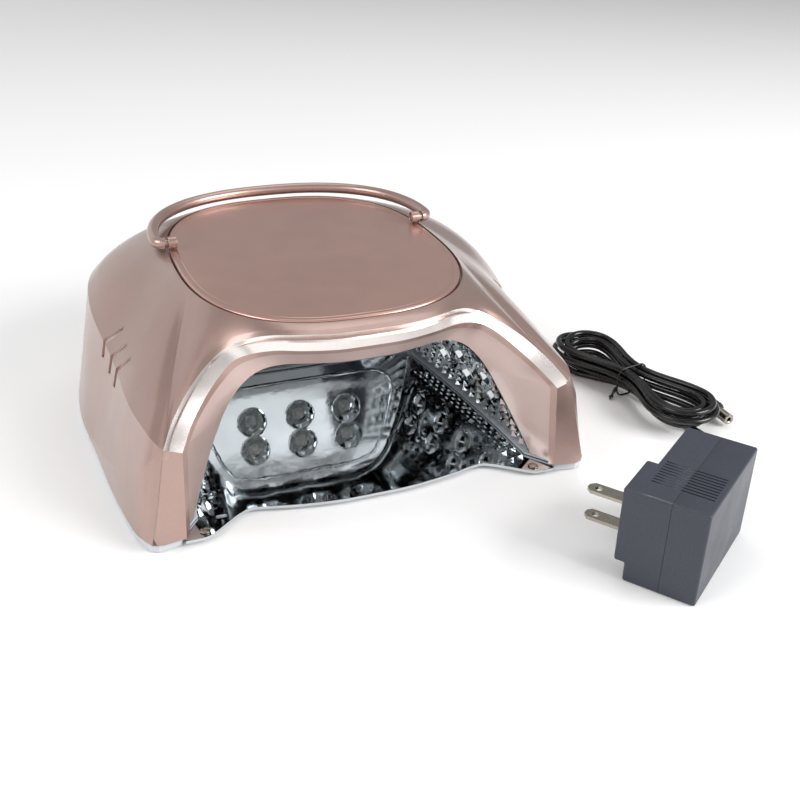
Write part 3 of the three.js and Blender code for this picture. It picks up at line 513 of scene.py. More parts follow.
CELL = material("battery_wrap", "#2c5fa8", 0.3, tint=0.05, gloss=0.08,
                bump=0.3, bump_scale=160, bump_depth=0.0003)
RUBBER = material("black_rubber", "#08090a", 0.24, tint=0.12, tint_scale=120, gloss=0.08, gloss_scale=220,
                  bump=0.25, bump_scale=1300, bump_depth=0.00006)
METAL = material("bright_metal", "#a8a297", 0.26, 1.0, tint=0.03, tint_scale=260, gloss=0.04, gloss_scale=500,
                 bump=0.2, bump_scale=1500, bump_depth=0.00004)

# ---------- Cord, from the supply round the hank to its connector ----------

CORD_LEAD = [
    (150.6, -39.9, 8.5), (155, -36.2, 7.4), (160, -30.6, 4.6), (164, -25, 2.6), (167.5, -18, 1.9),
    (169.8, -10.5, 1.9), (171.2, -3, 1.9),
]
CORD_TAIL = [
    (171.7, 70.4, 6.6), (176.3, 66, 5.6), (181, 63, 3.6), (185.5, 57.2, 2.4), (188.4, 49.4, 2.3),
    (189.2, 42.4, 3.4), (189.8, 39, 4.4),
]
CONNECTOR = Vector((189.8, 41.8, 4.4))
GRIP_LENGTH = 22
CORD_STEP = 1.2  # between the points of the finished route
EASING_ROUNDS = 12
TURNS = 6
LOBE_X = 37  # middle of each lobe, along the hank
LOBE_RADIUS = 12.4
WAIST_HALF = 4.4  # the two runs lie this far from the middle line at the tie
HANK_MIDDLE_Z = 8.3
STACK_RADIUS = 2.3
STACK_STRAIGHT = 7.6
STRAND_STEP = 4.0  # how far each turn moves on round the bundle's section
LOBE_SPREAD = 1.15  # the strands fan out this much more in the lobes
LOOSENESS = (0.6, 1.4, 0.5, 0.9, 1.6, 2.4)  # how much further each turn reaches than the lobes' middle line


def stack_place(s):
    """Outward and upward place of a strand s millimetres round the bundle's section, from its underside."""
    quarter = math.pi * STACK_RADIUS / 2
    stages = (quarter, STACK_STRAIGHT, 2 * quarter, STACK_STRAIGHT, quarter)
    half = STACK_STRAIGHT / 2
    if s < stages[0]:
        angle = s / STACK_RADIUS
        return -STACK_RADIUS * math.sin(angle), -half - STACK_RADIUS * math.cos(angle)
    s -= stages[0]
    if s < stages[1]:
        return -STACK_RADIUS, -half + s
    s -= stages[1]
    if s < stages[2]:
        angle = s / STACK_RADIUS
        return -STACK_RADIUS * math.cos(angle), half + STACK_RADIUS * math.sin(angle)
    s -= stages[2]
    return STACK_RADIUS, half - s


def run_half_width(x):
    """How far a run lies from the middle line: drawn in at the tie, out at the lobes."""
    return lerp(WAIST_HALF, LOBE_RADIUS, (1 - math.cos(math.pi * min(abs(x) / LOBE_X, 1))) / 2)


def strand(x, y, outward, s, reach, spread):
    """Point of a strand round the bundle's middle line at (x, y), which looks `outward`."""
    out, up = stack_place(s)
    shift = out * lerp(1, LOBE_SPREAD, spread) + reach * spread
    return Vector((x + outward[0] * shift, y + outward[1] * shift, HANK_MIDDLE_Z + up))


def lobe(side, s_from, s_to, reach):
    """Half circle round one end of the hank; side is -1 or +1 along it."""
    points = []
    for t in steps(14):
        angle = math.pi * t
        outward = (side * math.sin(angle), side * math.cos(angle))
        x = side * LOBE_X + LOBE_RADIUS * outward[0]
        y = LOBE_RADIUS * outward[1]
        points.append(strand(x, y, outward, lerp(s_from, s_to, smoothstep(t, 0, 1)), reach, 1))
    return points


def run(side, x_from, x_to, s, reach):
    """Run along one side of the hank."""
    points = []
    for t in steps(26)[1:-1]:
        x = lerp(x_from, x_to, t)
        spread = smoothstep(abs(x), 8, LOBE_X)
        points.append(strand(x, side * run_half_width(x), (0, side), s, reach, spread))
    return points


def cord_route():
    """Points of the cord's middle line, in the lamp's frame."""
    under = [(54, -0.4, 1.8), (44, -0.3, 1.7), (30, -0.1, 1.8), (12, 0, 2.3), (0, 0, 2.6), (-10, -1.2, 2.4),
             (-18, -4.6, 1.8), (-25, -8.7, 1.7), (-31, -11.9, 1.8)]
    coil = [Vector(p) for p in under]
    for turn, reach in enumerate(LOOSENESS):
        s, onward = turn * STRAND_STEP, (turn + 1) * STRAND_STEP
        coil += [Vector((p.x, -p.y, p.z)) for p in reversed(lobe(-1, onward, s, reach))]
        if turn + 1 == TURNS:
            coil += run(1, -LOBE_X, LOBE_X, onward, reach)[:6]
            break
        following = LOOSENESS[turn + 1]
        coil += run(1, -LOBE_X, LOBE_X, onward, reach)
        coil += lobe(1, onward, onward, lerp(reach, following, 0.5))
        coil += run(-1, LOBE_X, -LOBE_X, onward, following)
    lead = [Vector(p) for p in CORD_LEAD]
    tail = [Vector(p) for p in CORD_TAIL]
    return lead + [HANK @ p for p in coil] + tail


def spaced(points, gap):
    """Close, even points along a smooth curve through the given ones."""
    curve = through(points)
    fine = [curve(t) for t in steps(len(points) * 16)]
    result = [fine[0]]
    for p in fine[1:]:
        if (p - result[-1]).length >= gap:
            result.append(p)
    return result


def relaxed(points, rounds):
    """The route with its sharpest turns eased, as a springy cord lies; its two ends stay put."""
    for _ in range(rounds):
        eased_points = [(a + 2 * b + c) / 4 for a, b, c in zip(points, points[1:], points[2:])]
        points = [points[0], *eased_points, points[-1]]
    return points


def add_cord():
    route = [LAMP @ p for p in relaxed(spaced(cord_route(), CORD_STEP), EASING_ROUNDS)]
    data = curve_of(route, CORD_RADIUS / 1000, 5)
    data.materials.append(RUBBER)
    cord = bpy.data.objects.new("supply_cord", data)
    scene.collection.objects.link(cord)
    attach(cord, "lamp")
    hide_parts("cord_lead", "cord_hank", "cord_tail")
    return cord, route[0]


def strain_relief():
    """Tapered sleeve with five flex grooves."""
    profile = [(0, 0), (3.6, 0), (3.6, 3.6), (3.3, 4.2)]
    for i in range(5):
        z = 5 + 3.2 * i
        r = lerp(3.15, 2.55, i / 4)
        profile += [(r, z), (r - 0.05, z + 1.7), (r - 0.6, z + 2.0), (r - 0.62, z + 2.7)]
    profile += [(2.4, 21.6), (2.3, 23.6), (2.0, 24), (0, 24)]
    start = (SUPPLY_LENGTH / 2 + GAP, 0, 8.5)
    return lathe(profile, 36, start, (1, 0, 0))


def tie():
    """Twist tie round the hank's waist, with its two ends wound together."""
    loop = [Vector((0, y, z + 8.4)) for y, z in rounded_rectangle(19.4, 15.8, 5, 10)]
    loop.append(loop[0])
    band = swept(loop, 0.45)
    tails = []
    for phase in (0, math.pi):
        points = []
        for t in steps(30):
            angle = phase + 9 * t
            y = -9.9 - 4.1 * t
            z = lerp(6.2, 1.2, smoothstep(t, 0, 0.8))
            points.append(Vector((0.55 * math.cos(angle), y, z + 0.55 * math.sin(angle))))
        tails.append(swept(points, 0.5))
    mesh = joined([band, *tails])
    mesh.transform(HANK)
    return mesh


def connector():
    """The ribbed grip and the hollow barrel in front of it."""
    grip = [(0, 0), (1.9, 0), (2.3, 0.5)]
    for i in range(3):
        z = 2 + 2.2 * i
        r = 2.5 + 0.35 * i
        grip += [(r, z), (r, z + 1.2), (r - 0.45, z + 1.4), (r - 0.45, z + 2.0)]
    grip += [(3.3, 8.8), (4.0, 10), (4.3, 10.8), (4.3, 21), (3.9, 21.8), (0, GRIP_LENGTH)]
    barrel = [(0, 0), (2.75, 0), (2.75, 9), (2.45, 9.4), (1.5, 9.5), (1.1, 9.2), (1.1, 0.6), (0, 0.6)]
    forward = Vector((0, -1, 0))
    return (lathe(grip, 36, CONNECTOR, forward),
            lathe(barrel, 36, CONNECTOR + forward * (GRIP_LENGTH + GAP), forward))


cord, cord_exit = add_cord()
sleeve = add_piece("strain_relief", strain_relief(), RUBBER, ["cord_strain_relief"],
                   to_frame=SUPPLY)
hank_tie = add_piece("hank_tie", tie(), RUBBER, ["cord_tie"])
grip_mesh, barrel_mesh = connector()
grip = add_piece("plug_grip", grip_mesh, RUBBER, ["connector_grip"])
barrel = add_piece("plug_barrel", barrel_mesh, METAL, ["connector_barrel"])

# ---------- Lines that shape the lamp, right half ----------

ARCH_OUTER = (
    through([(0, 13.3, 81.2), (16, 13.8, 81.2), (30, 17, 81.3), (42, 23, 80.2), (52, 29, 76.5),
             (62, 30, 71.3), (74, 23, 63.3), (84, 13.5, 54), (90.2, 4.6, 46)]),
    through([(90.2, 4.6, 46), (99, 0, FOOT_Z)]),
)
ARCH_INNER = (
    through([(0, 15.6, 74.6), (14, 15.8, 74.7), (28, 18, 75.2), (39, 21.5, 75.2), (48, 26, 72.6),
             (57, 26.5, 69), (67, 21.5, 62), (76.5, 14, 53), (84, 3.8, 44.3)]),
    through([(84, 3.8, 44.3), (86.2, 2.2, FOOT_Z)]),
)
ARCH_LINING = (
    through([(0, 22, 63.5), (13, 22.3, 63.7), (25, 24, 64.3), (35, 26.3, 64.4), (43, 27.8, 63),
             (49, 28.2, 60), (54, 28.2, 55.5), (58, 27.6, 50.5), (61.5, 26.8, 45)]),
    through([(61.5, 26.8, 45), (68, 23.6, 32), (74.2, 18.8, 18), (79.5, 13.8, FOOT_Z)]),
)
BACK_OUTLINE = (
    through([(0, 0, 66), (16, 0, 66), (29, 0, 65.6), (39, 0, 63), (46, 0, 57), (50.5, 0, 50)]),
    through([(50.5, 0, 50), (57, 0, 36), (63, 0, 20), (67, 0, FOOT_Z)]),
)
CREASE = through([
    (90.2, 4.6, 46), (92.6, 8, 47.6), (95, 16, 49), (98.3, 42, 49), (99.5, 80, 51),
    (103.5, 124, 59), (98, 162, 62.5), (77, 188, 64.5), (40, 201, 65.6), (0, 203, 66),
])
FOOT_LINE = through([
    (99, 0, FOOT_Z), (101.6, 4.6, FOOT_Z), (104.8, 14, FOOT_Z), (108.8, 42, FOOT_Z), (112, 80, FOOT_Z),
    (115, 124, FOOT_Z), (109, 164, FOOT_Z), (86, 193, FOOT_Z), (44, 206, FOOT_Z), (0, DEPTH, FOOT_Z),
])
RIDGE_START = 0.95
RIDGE_END = 0.56
LEG_LID_ANGLE = -14.5
TRAY_FRONT = through([
    (0, 8.4, 0), (17, 8.8, 0), (36, 11.6, 0), (53, 15.4, 0), (60, 13, 0), (66, 8.5, 0),
    (74.5, 1.9, 0), (80, 0.9, 0), (85.4, 0.9, 0),
])
TRAY_SIDE = through([(TRAY_CORNER_X, TRAY_CORNER_Y, 0), (83.4, 60, 0), (75, 118, 0), (62, 138, 0),
                     (40, 146, 0), (0, 147, 0)])

TOP_STEPS = steps(56)
ARCH_STEPS = TOP_STEPS + [1 + t for t in steps(12)[1:]]
SIDE_STEPS = steps(96)


def arch_point(line, s):
    return line[0](s) if s <= 1 else line[1](s - 1)


def lid_outline(angle, inset=0.0):
    across, back = (squarish(value, LID_ROUNDNESS) for value in arc(angle)[0])
    return (LID_HALF_WIDTH - inset) * across, LID_CENTRE_Y + (LID_HALF_DEPTH - inset) * back


def into_opening(s):
    """Point of the opening's inner edge, and the way that its lining leaves it."""
    edge = arch_point(ARCH_INNER, s)
    return edge, (arch_point(ARCH_LINING, s) - edge).normalized()


# ---------- Cover and lid ----------

# The second look is the painted highlight of the arch's bevel and the chevrons' floors.
COVER_LOOKS = [ROSE_SHELL, ROSE_PAINTED_HIGHLIGHT]
GILL_SPOTS = ((97, 54.5), (84.5, 52), (73, 50.8))
GILL_DEPTH = 1.1
GILL_FLOOR_WALL = 1.0
GILL_STRETCH = (0.38, 0.53)  # the part of the cover's side that holds the chevrons
RIDGE_COLUMNS = 12  # columns on either side of the ridge above a leg that are eased
RIDGE_WINDOW = 9


def shoulder(low, angle, fullness):
    """Column of points from the cover's widest line up to the lid and into its recess."""
    high = Vector((*lid_outline(angle), LID_RIM_Z))
    reach = lerp(0.5, 0.115, fullness)
    rise = lerp(0.5, 0.86, fullness)
    knee = Vector((lerp(low.x, high.x, reach), lerp(low.y, high.y, reach), lerp(low.z, high.z, rise)))
    first = max(0.18, 3 / (low - high).length)
    column = [low]
    for t in steps(14):
        w = lerp(first, 1, t)
        column.append((1 - w) ** 2 * low + 2 * w * (1 - w) * knee + w * w * high)
    column.append(Vector((*lid_outline(angle), LID_SEAT_Z)))
    column.append(Vector((*lid_outline(angle, LID_SEAT_WIDTH), LID_SEAT_Z)))
    return column


def front_column(t):
    return shoulder(ARCH_OUTER[0](t), lerp(-90, LEG_LID_ANGLE, t), 0.5 * (1 - t))


def side_column(t):
    return shoulder(CREASE(t), lerp(LEG_LID_ANGLE, 90, t * t), 0.55 * smoothstep(t, 0.1, 0.6))


def skirt_lines(t):
    """Foot, ridge and crease of the cover's side; the ridge falls away towards the back."""
    foot, crease = FOOT_LINE(t), CREASE(t)
    height = lerp(RIDGE_START, 0, smoothstep(t, 0, RIDGE_END))
    bulge = RIDGE_BULGE * math.sin(math.pi * height) * smoothstep(t, 0.02, 0.2)
    outward = Vector((foot.x, foot.y - LID_CENTRE_Y, 0)).normalized()
    return foot, foot.lerp(crease, height) + outward * bulge, crease


def above_foot_line(mesh):
    """The mesh with what reaches below the cover's foot pressed flat onto it."""
    for vertex in mesh.vertices:
        vertex.co.z = max(vertex.co.z, FOOT_Z)
    return mesh


def gill(y, z):
    """Cutter for one chevron on both sides."""
    outline = [(0, 0), (-7, 8), (-9, 6.9), (-3.9, 0), (-4.9, -7.3), (-1.2, -8)]
    turn = Matrix(((0, 0, 1, 0), (1, 0, 0, 0), (0, 1, 0, 0), (0, 0, 0, 1)))
    return prism([(y + dy, z + dz) for dy, dz in outline], -120, 120, turn)


def gill_backing():
    """Floor of the chevrons: a sheet that lies inside the wall, GILL_DEPTH under its outer face."""
    stations = [t for t in SIDE_STEPS if GILL_STRETCH[0] < t < GILL_STRETCH[1]]
    slope = [side_column(t)[:9] for t in stations]
    skirt = [[ridge.lerp(crease, w) for w in steps(4)] for _, ridge, crease in map(skirt_lines, stations)]
    # The chevrons' floors take the second look: painted highlight.
    sheet = patch_mesh([(1, both_sides([slope, skirt]))], lambda p: Vector((p.x, 0, 0)))
    for look in COVER_LOOKS:
        sheet.materials.append(look)
    return thickened(sheet, GILL_FLOOR_WALL, 0.1, offset=-1 - 2 * GILL_DEPTH / GILL_FLOOR_WALL)


def eased(columns, corner):
    """The shoulder with the ridge above each leg rounded off, more so the nearer it is to the lid."""
    result = [list(column) for column in columns]
    for i in range(corner - RIDGE_COLUMNS, corner + RIDGE_COLUMNS + 1):
        nearness = 1 - abs(i - corner) / (RIDGE_COLUMNS + 1)
        for j in range(1, len(columns[i]) - 1):
            width = round(RIDGE_WINDOW * smoothstep(j, 0, 7) * nearness)
            window = columns[i - width:i + width + 1]
            result[i][j] = sum((column[j] for column in window), Vector()) / len(window)
    return result


def cover():
    """Cover with shallow chevrons: they are cut through its wall and backed half way in."""
    chamfer = []
    for s in ARCH_STEPS:
        outer, inner = arch_point(ARCH_OUTER, s), arch_point(ARCH_INNER, s)
        chamfer.append([outer.lerp(inner, w) for w in steps(3)])
    corner = len(TOP_STEPS)
    turned_in = [[edge, edge + way * COVER_WALL] for edge, way in map(into_opening, ARCH_STEPS)]
    shoulders = [front_column(t) for t in TOP_STEPS] + [side_column(t) for t in SIDE_STEPS[1:]]
    slope = eased([column[:-2] for column in shoulders], corner - 1)
    recess = [column[-3:-1] for column in shoulders]
    seat = [column[-2:] for column in shoulders]
    skirt = [skirt_lines(t) for t in SIDE_STEPS]
    below = [[foot.lerp(ridge, w) for w in steps(4)] for foot, ridge, _ in skirt]
    above = [[ridge.lerp(crease, w) for w in steps(4)] for _, ridge, crease in skirt]
    painted = [turned_in, slope, recess, seat, below, above, chamfer[corner - 1:]]
    # The bevel over the arch takes the second look, painted highlight; down the legs it keeps the shell's
    # look.
    patches = [(0, both_sides([grid])) for grid in painted] + [(1, both_sides([chamfer[:corner]]))]
    surface = patch_mesh(patches, lambda p: Vector((p.x, p.y - LID_CENTRE_Y, p.z - 20)))
    for look in COVER_LOOKS:
        surface.materials.append(look)
    gills = joined([gill(y, z) for y, z in GILL_SPOTS])
    mesh = joined([cut(thickened(surface, COVER_WALL, 0.5), gills), gill_backing()])
    panel_hole = upright(PANEL_WIDTH + 2 * GAP, PANEL_HEIGHT + 2 * GAP, 4, 0, PANEL_Z, 190, 215)
    return cut(above_foot_line(mesh), panel_hole)


def lid():
    angles = [360 * t for t in steps(240)[:-1]]
    top = LID_TOP_Z
    profile = [(LID_GROOVE + 0.5, 80.65), (LID_GROOVE, 81.1), (LID_GROOVE, top - 1.0)]
    profile += [(LID_GROOVE + 1 - c, top - 1 + s) for c, s in arc(18, 36, 54, 72, 90)]
    profile += [(LID_GROOVE + 2.6, top), (LID_GROOVE + 2.9, top - 0.25), (LID_GROOVE + 3.3, top - 0.25),
                (LID_GROOVE + 3.7, top), (12, top), (30, top)]
    bm = bmesh.new()
    rings = [[bm.verts.new((*lid_outline(a, inset), z)) for a in angles] for inset, z in profile]
    for low, high in zip(rings, rings[1:]):
        band(bm, low, high)
    bm.faces.new(rings[-1])
    bm.faces.new(list(reversed(rings[0])))
    return closed_mesh(bm)


add_piece("cover_shell", cover(), COVER_LOOKS, ["outer_cover"])
add_piece("lid_panel", lid(), LID_PAINT, ["top_lid"], sharp=40)

# ---------- Hand opening: lining, reflector, LED boards ----------


def lining():
    rows = []
    for s in ARCH_STEPS:
        edge, way = into_opening(s)
        start = edge + way * (COVER_WALL + GAP)
        if s == 2:
            start.z = FOOT_Z
        rows.append([start.lerp(arch_point(ARCH_LINING, s), w) for w in steps(8)])
    mesh = patch_mesh([(0, both_sides([rows]))], lambda p: Vector((0, -1, 0)))
    return above_foot_line(thickened(mesh, LINING_WALL, 0.25))


def back_wall_point(s):
    outline = arch_point(BACK_OUTLINE, s)
    return Vector((outline.x, BACK_FOOT_Y - BACK_LEAN * (outline.z - FOOT_Z), outline.z))


def reflector_point(s, depth):
    front = arch_point(ARCH_LINING, s) + Vector((0, LINING_WALL + 1.5 * GAP, 0))
    point = front.lerp(back_wall_point(s), depth)
    point.x *= 1 + 0.025 * math.sin(math.pi * depth)
    return point


def led_boards():
    """Each board's middle, the way along it, the way its LEDs shine, its cups' radius, size and LEDs."""
    along = (reflector_point(SIDE_BOARD_S, 0.6) - reflector_point(SIDE_BOARD_S, 0.4)).normalized()
    up = reflector_point(SIDE_BOARD_S - 0.1, 0.5) - reflector_point(SIDE_BOARD_S + 0.1, 0.5)
    normal = up.cross(along).normalized()
    centre = reflector_point(SIDE_BOARD_S, 0.5)
    side_leds = [(u, v) for u in (-36, -12, 12, 36) for v in (-6.5, 6.5)]
    side_facts = {"cup": 5.8, "size": (94, 28), "leds": side_leds, "facets": 9}
    x_axis = Vector((1, 0, 0))
    columns = (-27, 0, 27)
    return {
        "roof": {"centre": Vector((0, 72, 65)), "along": x_axis, "normal": Vector((0, 0, -1)),
                 "cup": 9, "size": (76, 66), "leds": [(u, v) for u in columns for v in (-24, 0, 24)],
                 "facets": 48},
        "back": {"centre": Vector((0, BACK_FOOT_Y - BACK_LEAN * 30, FOOT_Z + 30)), "along": x_axis,
                 "normal": Vector((0, -1, -BACK_LEAN)).normalized(), "cup": 7.6, "size": (70, 38),
                 "leds": [(u, v) for u in columns for v in (-5.5, 10.5)], "facets": 48},
        "right": {"centre": centre, "along": along, "normal": normal, **side_facts},
        "left": {"centre": mirror(centre), "along": mirror(along), "normal": mirror(normal), **side_facts},
    }


BOARDS = led_boards()


def onto_board(mesh, board):
    """Moves a mesh drawn with +Z the way the LEDs shine onto its board."""
    across = board["normal"].cross(board["along"]).normalized()
    turn = Matrix((board["along"], across, board["normal"])).transposed().to_4x4()
    mesh.transform(Matrix.Translation(board["centre"]) @ turn)
    return mesh


def cup(board):
    """Open bowl round an LED, with a rolled lip just proud of the reflector."""
    top, floor = board["cup"], CUP_FLOOR
    bowl = [(lerp(floor, top, t ** 0.7), -CUP_DEPTH + (CUP_DEPTH + 0.3) * t) for t in steps(8)]
    if board["facets"] < 12:
        bowl = [(lerp(floor, top, t), -CUP_DEPTH + (CUP_DEPTH + 0.3) * t) for t in (0, 1)]
    lip = [(top + 0.3, 0.5), (top + 0.7, 0.4), (top + 0.9, -0.1)]
    outside = [(top + 0.5, -0.9), (floor + CUP_WALL, -CUP_DEPTH), (floor, -CUP_DEPTH)]
    return bowl + lip + outside


def ring_solid(profile, sides, at):
    """Ring from a closed profile of (radius, height) that stays off the axis."""
    bm = bmesh.new()
    rings = []
    for radius, height in profile[:-1]:
        angles = [2 * math.pi * (i + 0.5) / sides for i in range(sides)]
        rings.append([bm.verts.new((at[0] + radius * math.cos(a), at[1] + radius * math.sin(a), height))
                      for a in angles])
    for low, high in zip(rings, rings[1:] + rings[:1]):
        band(bm, low, high)
    return closed_mesh(bm)


def reflector():
    walls = [[reflector_point(s, d) for s in ARCH_STEPS] for d in steps(20)]
    wall_foot = [Vector((back_wall_point(s).x, BACK_FOOT_Y, FOOT_Z)) for s in ARCH_STEPS]
    rear = [[back_wall_point(s).lerp(foot, w) for s, foot in zip(ARCH_STEPS, wall_foot)] for w in steps(6)]
    middle = Vector((0, 80, 25))
    mesh = patch_mesh([(0, both_sides([walls])), (0, both_sides([rear]))], lambda p: middle - p)
    mesh = thickened(mesh, REFLECTOR_WALL, 1.2)
    holes, cups = [], []
    for board in BOARDS.values():
        for u, v in board["leds"]:
            sides = board["facets"] if board["facets"] > 12 else 18
            holes.append(onto_board(drill(board["cup"] + 0.4, -CUP_DEPTH - 3, 3, u, v, sides), board))
            cups.append(onto_board(ring_solid(cup(board), board["facets"], (u, v)), board))
    for x in SENSOR_X:
        holes.append(drill(SENSOR_RADIUS + GAP, 58, 68, x, SENSOR_Y))
    return joined([cut(mesh, joined(holes)), *cups])


FACET_STRETCH = (0.98, 1.93)  # the part of the arch that they cover
FACETS_IN_ROW = 16
FACET_CLEARANCE = 9  # from the middle of an LED
FACET_HALF_LENGTH = 3.4
FACET_HALF_WIDTH = 3.0
FACET_PEAK = 1.7


def facets():
    """Low pyramids that break up the reflector's sides between the cups."""
    board = BOARDS["right"]
    leds = [led_spot(board, led) for led in board["leds"]]
    solids = []
    for row, s in enumerate(lerp(*FACET_STRETCH, t) for t in steps(8)):
        for i in range(FACETS_IN_ROW):
            depth = (i + 0.5 + 0.5 * (row % 2)) / (FACETS_IN_ROW + 1)
            middle = reflector_point(s, depth)
            if any((middle - led).length < FACET_CLEARANCE for led in leds):
                continue
            along = (reflector_point(s, depth + 0.03) - reflector_point(s, depth - 0.03)).normalized()
            down = (reflector_point(s + 0.04, depth) - reflector_point(s - 0.04, depth)).normalized()
            inward = along.cross(down)
            if inward.x > 0:
                inward.negate()
            solids.append(pyramid(middle, along * FACET_HALF_LENGTH, down * FACET_HALF_WIDTH,
                                  inward.normalized() * FACET_PEAK))
    return joined(solids + [reflected(solid) for solid in solids])


def led_spot(board, led):
    across = board["normal"].cross(board["along"]).normalized()
    return board["centre"] + board["along"] * led[0] + across * led[1]


def pyramid(middle, half_u, half_v, peak):
    """Four-sided pyramid whose base is sunk a little below its middle."""
    bm = bmesh.new()
    sunk = middle - peak * 0.3
    base = [bm.verts.new(sunk + offset) for offset in (half_u, half_v, -half_u, -half_v)]
    top = bm.verts.new(middle + peak)
    bm.faces.new(base)
    for i in range(4):
        bm.faces.new((base[i], base[(i + 1) % 4], top))
    return closed_mesh(bm)


def reflected(mesh):
    """Copy of a mesh on the other side of the lamp."""
    bm = opened(mesh)
    for vertex in bm.verts:
        vertex.co.x = -vertex.co.x
    bmesh.ops.reverse_faces(bm, faces=bm.faces)
    return mesh_of(bm)


BORDER = through([
    (0, 0, 60.5), (18, 0, 60.5), (31, 0, 60), (40, 0, 57), (46, 0, 49), (50, 0, 38), (54, 0, 26),
    (54, 0, 18), (49, 0, 13), (40, 0, 11.5), (20, 0, 11), (0, 0, 11),
])


def back_border():
    """Raised bead with round corners that frames the back wall's LEDs."""
    half = [BORDER(t) for t in steps(72)]
    loop = [Vector((p.x, BACK_FOOT_Y - BACK_LEAN * (p.z - FOOT_Z) - 0.2, p.z)) for p in half]
    loop += [mirror(p) for p in reversed(loop[1:-1])]
    return swept(loop + loop[:2], 1.0, 4)


def led_board(board):
    length, width = board["size"]
    base = softened(block(length, width, BOARD_THICKNESS, 0, 0, -LED_STANDOFF - BOARD_THICKNESS / 2), 0.3)
    middle = LED_CASE_HEIGHT / 2 - LED_STANDOFF
    cases = [softened(block(5.4, 5.4, LED_CASE_HEIGHT, u, v, middle), 0.25, 2) for u, v in board["leds"]]
    return onto_board(joined([base, *cases]), board)


def led_domes(board):
    dome = [(2.3 * c, 2.0 * s) for c, s in arc(15, 30, 45, 60, 75)]
    profile = [(0, 0), (2.3, 0), *dome, (0, 2.0)]
    base = LED_CASE_HEIGHT + 0.05 - LED_STANDOFF
    domes = [lathe(profile, 24, (u, v, base)) for u, v in board["leds"]]
    return onto_board(joined(domes), board)


def sensor(x):
    """Domed lens of the hand sensor in the reflector's roof."""
    dome = [(SENSOR_RADIUS * c, 0.9 - 0.9 * s) for c, s in arc(20, 40, 60, 80)]
    profile = [(0, 6), (SENSOR_RADIUS, 6), (SENSOR_RADIUS, 0.9), *dome, (0, 0)]
    return lathe(profile, 28, (x, SENSOR_Y, SENSOR_Z))


add_piece("opening_lining", lining(), LINING_PAINT, ["arch_lining"])
add_piece("reflector_dish", joined([reflector(), back_border(), facets()]), CHROME,
          ["inner_reflector"], sharp=30)
for place, board in BOARDS.items():
    add_piece(f"led_board_{place}_base", led_board(board), BOARD_WHITE, [f"led_board_{place}"])
    add_piece(f"led_board_{place}_domes", led_domes(board), DOME)
for x, side in zip(SENSOR_X, ("right", "left")):
    add_piece(f"sensor_lens_{side}", sensor(x), GLOSS_BLACK, [f"presence_sensor_{side}"])

# ---------- Tray, base frame, feet, screws ----------


def tray_outline():
    """Plan of the tray; its rear curve is drawn in a little, clear of the base frame's faceted groove."""
    front = [TRAY_FRONT(t) for t in steps(72)]
    right = [(p.x, p.y) for p in front]
    for t in steps(60):
        p = TRAY_SIDE(t)
        right.append((p.x * (1 - TRAY_EASE * smoothstep(t, 0.2, 0.5)), p.y))
    return right + [(-x, y) for x, y in reversed(right[1:-1])]


SLOT_ROWS = 3
SLOTS_IN_ROW = 17
SLOT_PITCH = 5.4
SLOT_ROW_STEP = 2.6
FIRST_SLOT_Y = 22
SLOT_MARGIN = 10  # from the tray's edge to the outer row


def perforations():
    """Short blind slots in staggered rows along both sides of the tray."""
    holes = []
    for row in range(SLOT_ROWS):
        for i in range(SLOTS_IN_ROW):
            y = FIRST_SLOT_Y + SLOT_PITCH * (i + row / SLOT_ROWS)
            back = y - TRAY_CORNER_Y
            edge = TRAY_CORNER_X - 0.045 * back - 0.0006 * back ** 2
            x = edge - SLOT_MARGIN - SLOT_ROW_STEP * row
            for side in (1, -1):
                holes.append(block(0.9, 2.2, 1.0, side * x, y, TRAY_TOP))
    return joined(holes)


def tray():
    slab = softened(prism(tray_outline(), TRAY_BOTTOM, TRAY_TOP), 0.22, 2)
    slots = [prism(rounded_rectangle(5, 2.4, 1.1), 0, 6, Matrix.Translation((side * 67.8, 13.6, 0)))
             for side in (1, -1)]
    bores = [drill(1.65, 0, 6, side * RIVET_X, RIVET_Y) for side in (1, -1)]
    return cut(slab, joined(slots + bores), perforations())


def rivet(x):
    profile = [(0, 0), (1.3, 0), (1.3, 1.85), (2.3, 1.86), (2.3, 2.0), (2.0, 2.22), (1.4, 2.34), (0, 2.35)]
    return lathe(profile, 28, (x, RIVET_Y, TRAY_BOTTOM))


def rubber_foot(node):
    low, high = node_box(node)
    radius = (high.x - low.x) / 2
    profile = [(0, 0.1), (radius - 1.6, 0.1), (radius - 1.2, 0), (radius - 0.3, 0), (radius, 0.3),
               (radius, 1.1), (radius - 0.2, 1.25), (0, 1.25)]
    return lathe(profile, 40, ((low.x + high.x) / 2, (low.y + high.y) / 2, 0))


def node_box(node):
    """Lowest and highest corners of a node, in millimetres in the lamp's frame."""
    low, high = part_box(node)
    back = LAMP.inverted()
    return back @ Vector(low), back @ Vector(high)


def screw(node):
    """Countersunk screw with a cross recess in its head."""
    low, high = node_box(node)
    x, y = (low.x + high.x) / 2, (low.y + high.y) / 2
    profile = [(0, 0), (2.5, 0), (2.9, 0.3), (2.9, 1.0), (2.6, 1.2), (1.35, 1.2), (1.35, 9.6),
               (0.9, 10.2), (0, 10.2)]
    body = lathe(profile, 32, (x, y, 0.8))
    cross = [block(3.4, 0.7, 1.2, x, y, 0.8), block(0.7, 3.4, 1.2, x, y, 0.8)]
    return cut(body, *cross)


